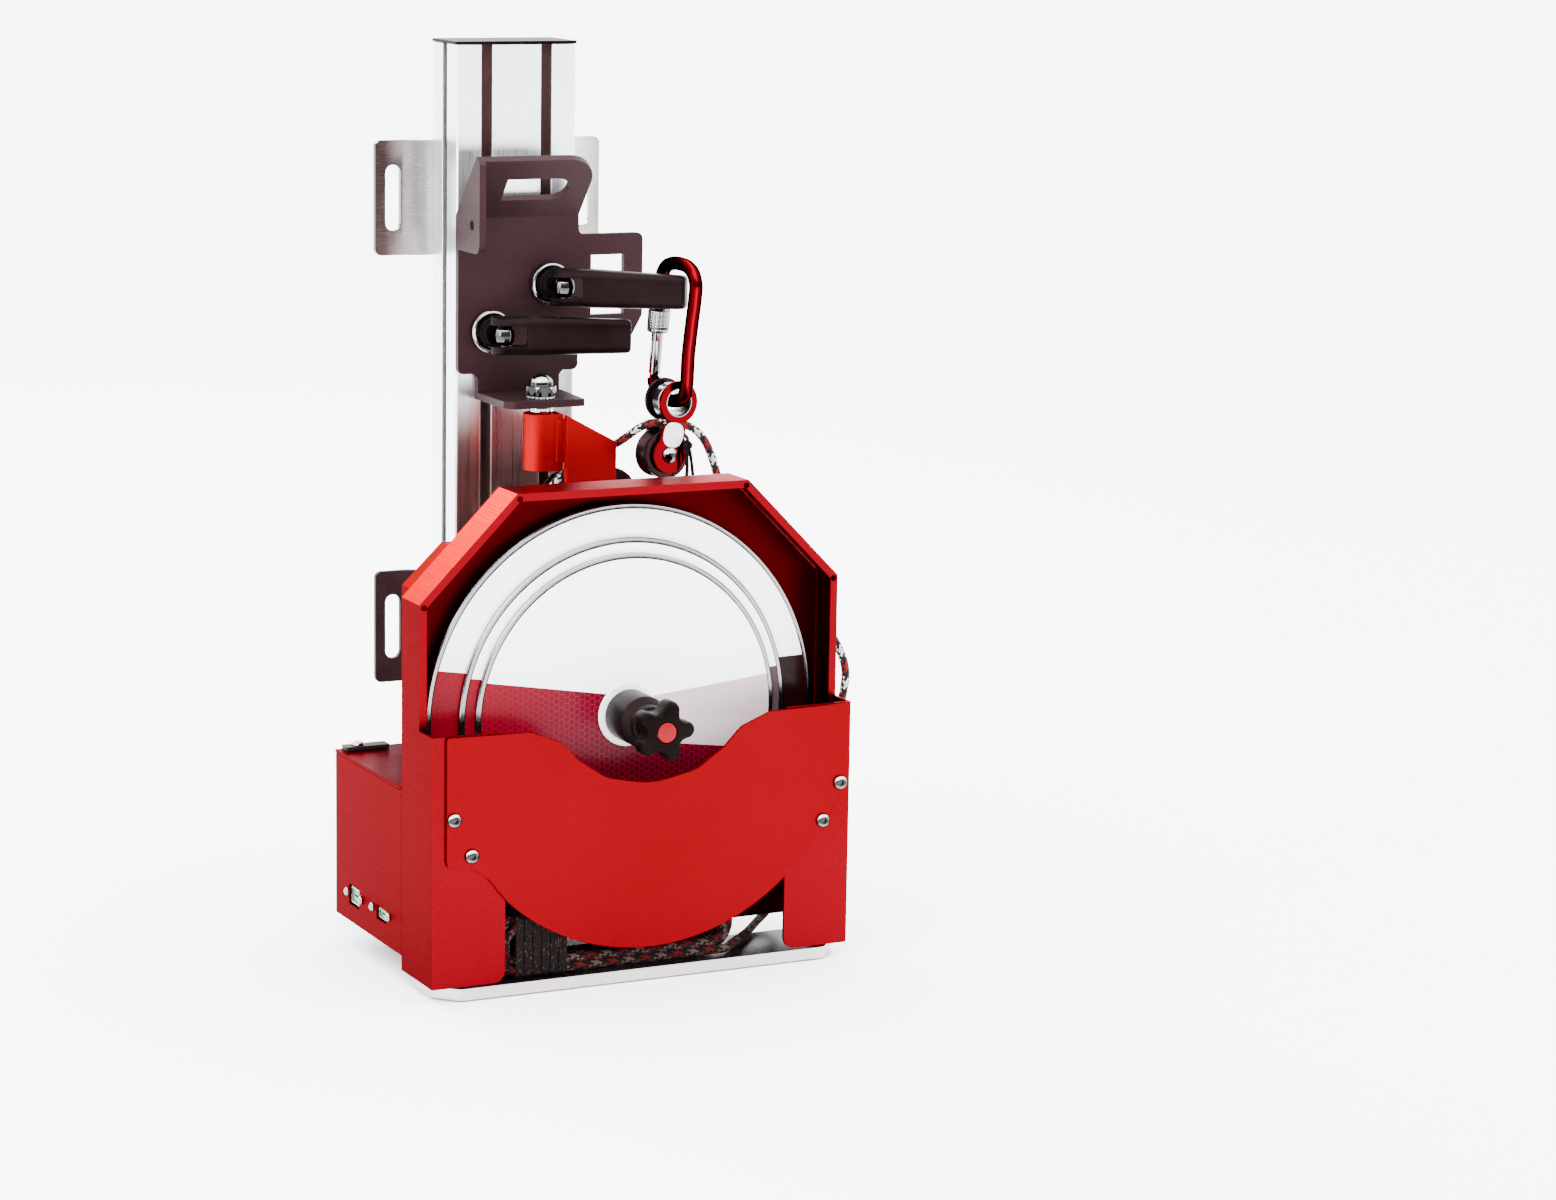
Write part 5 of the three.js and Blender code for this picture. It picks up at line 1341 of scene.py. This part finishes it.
# small black bracket with a bright screw on the box lid
bm = plate_bm(fillet([(-150, -60), (-118, -60), (-118, -49), (-150, -49)], 2.0, 4, True), [], -479.2, -476.4, "XY")
finish_bm(bm, "lid_clip", "housing", MAT["black_bracket"], bevel=0.4, seg=2)
bm = lathe_bm([(0, -473.6), (2.0, -473.7), (3.8, -474.4), (4.6, -475.6), (4.6, -476.3), (0, -476.3)], "Z", (-140, -54.5), 40, r=0.2)
finish_bm(bm, "lid_clip_screw", "housing", MAT["chrome"], sharp=36)

# ------------------------------------------------------------------ floor, world, lights
FLOOR_Z = cad_lo[2] - 0.0012
me = bpy.data.meshes.new("floor")
me.from_pydata([(-40, -40, FLOOR_Z), (40, -40, FLOOR_Z), (40, 60, FLOOR_Z), (-40, 60, FLOOR_Z)], [], [(0, 1, 2, 3)])
floor = bpy.data.objects.new("floor", me)
scene.collection.objects.link(floor)
t = Tree("floor_pale", Roughness=0.9)
t.b.inputs["Specular IOR Level"].default_value = 0.05
t.color(t.ramp(t.noise(0.6, 2, 0.5), [(0.3, (0.93, 0.93, 0.93)), (0.7, (0.95, 0.95, 0.95))]))
me.materials.append(t.mat)

world = bpy.data.worlds.new("world")
scene.world = world
world.use_nodes = True
wt = world.node_tree
bg = wt.nodes["Background"]
tc = wt.nodes.new("ShaderNodeTexCoord")
sp = wt.nodes.new("ShaderNodeSeparateXYZ")
wt.links.new(tc.outputs["Generated"], sp.inputs[0])


def sky(stops):
    r = wt.nodes.new("ShaderNodeValToRGB")
    while len(r.color_ramp.elements) < len(stops):
        r.color_ramp.elements.new(0.5)
    for e, (pos, v) in zip(r.color_ramp.elements, stops):
        e.position = pos
        e.color = (v, v, v, 1)
    wt.links.new(sp.outputs[2], r.inputs["Fac"])
    return r.outputs["Color"]


back = sky([(0.0, 0.42), (0.10, 0.42), (0.30, 0.62), (0.60, 1.0)])
front = sky([(0.0, 0.03), (0.26, 0.03), (0.44, 0.75), (0.60, 1.0)])
mr = wt.nodes.new("ShaderNodeMapRange")
mr.inputs["From Min"].default_value = 0.10
mr.inputs["From Max"].default_value = -0.45
wt.links.new(sp.outputs[1], mr.inputs["Value"])
mx = wt.nodes.new("ShaderNodeMix")
mx.data_type = "RGBA"
wt.links.new(mr.outputs["Result"], mx.inputs[0])
wt.links.new(back, mx.inputs[6])
wt.links.new(front, mx.inputs[7])
wt.links.new(mx.outputs[2], bg.inputs["Color"])
bg.inputs["Strength"].default_value = 9.4


def area(name, loc, target, size, size_y, power, color=(1, 1, 1)):
    li = bpy.data.lights.new(name, "AREA")
    li.shape = "RECTANGLE"
    li.size, li.size_y = size, size_y
    li.energy = power
    li.color = color
    ob = bpy.data.objects.new(name, li)
    scene.collection.objects.link(ob)
    ob.location = loc
    ob.rotation_mode = "QUATERNION"
    ob.rotation_quaternion = (Vector(target) - Vector(loc)).to_track_quat("-Z", "Y")
    return ob


area("key_left", (-1.5, -1.6, 1.3), (0.082, -0.15, -0.25), 1.0, 1.4, 30)
area("fill_right", (2.0, -1.4, 0.6), (0.082, -0.15, -0.25), 1.0, 1.6, 16)
area("strip_left", (-1.9, -0.5, 0.2), (0.082, -0.15, -0.25), 0.35, 1.6, 26)
area("rim_back", (-0.42, 2.3, 1.10), (0.0, -0.12, -0.10), 1.0, 0.5, 90)
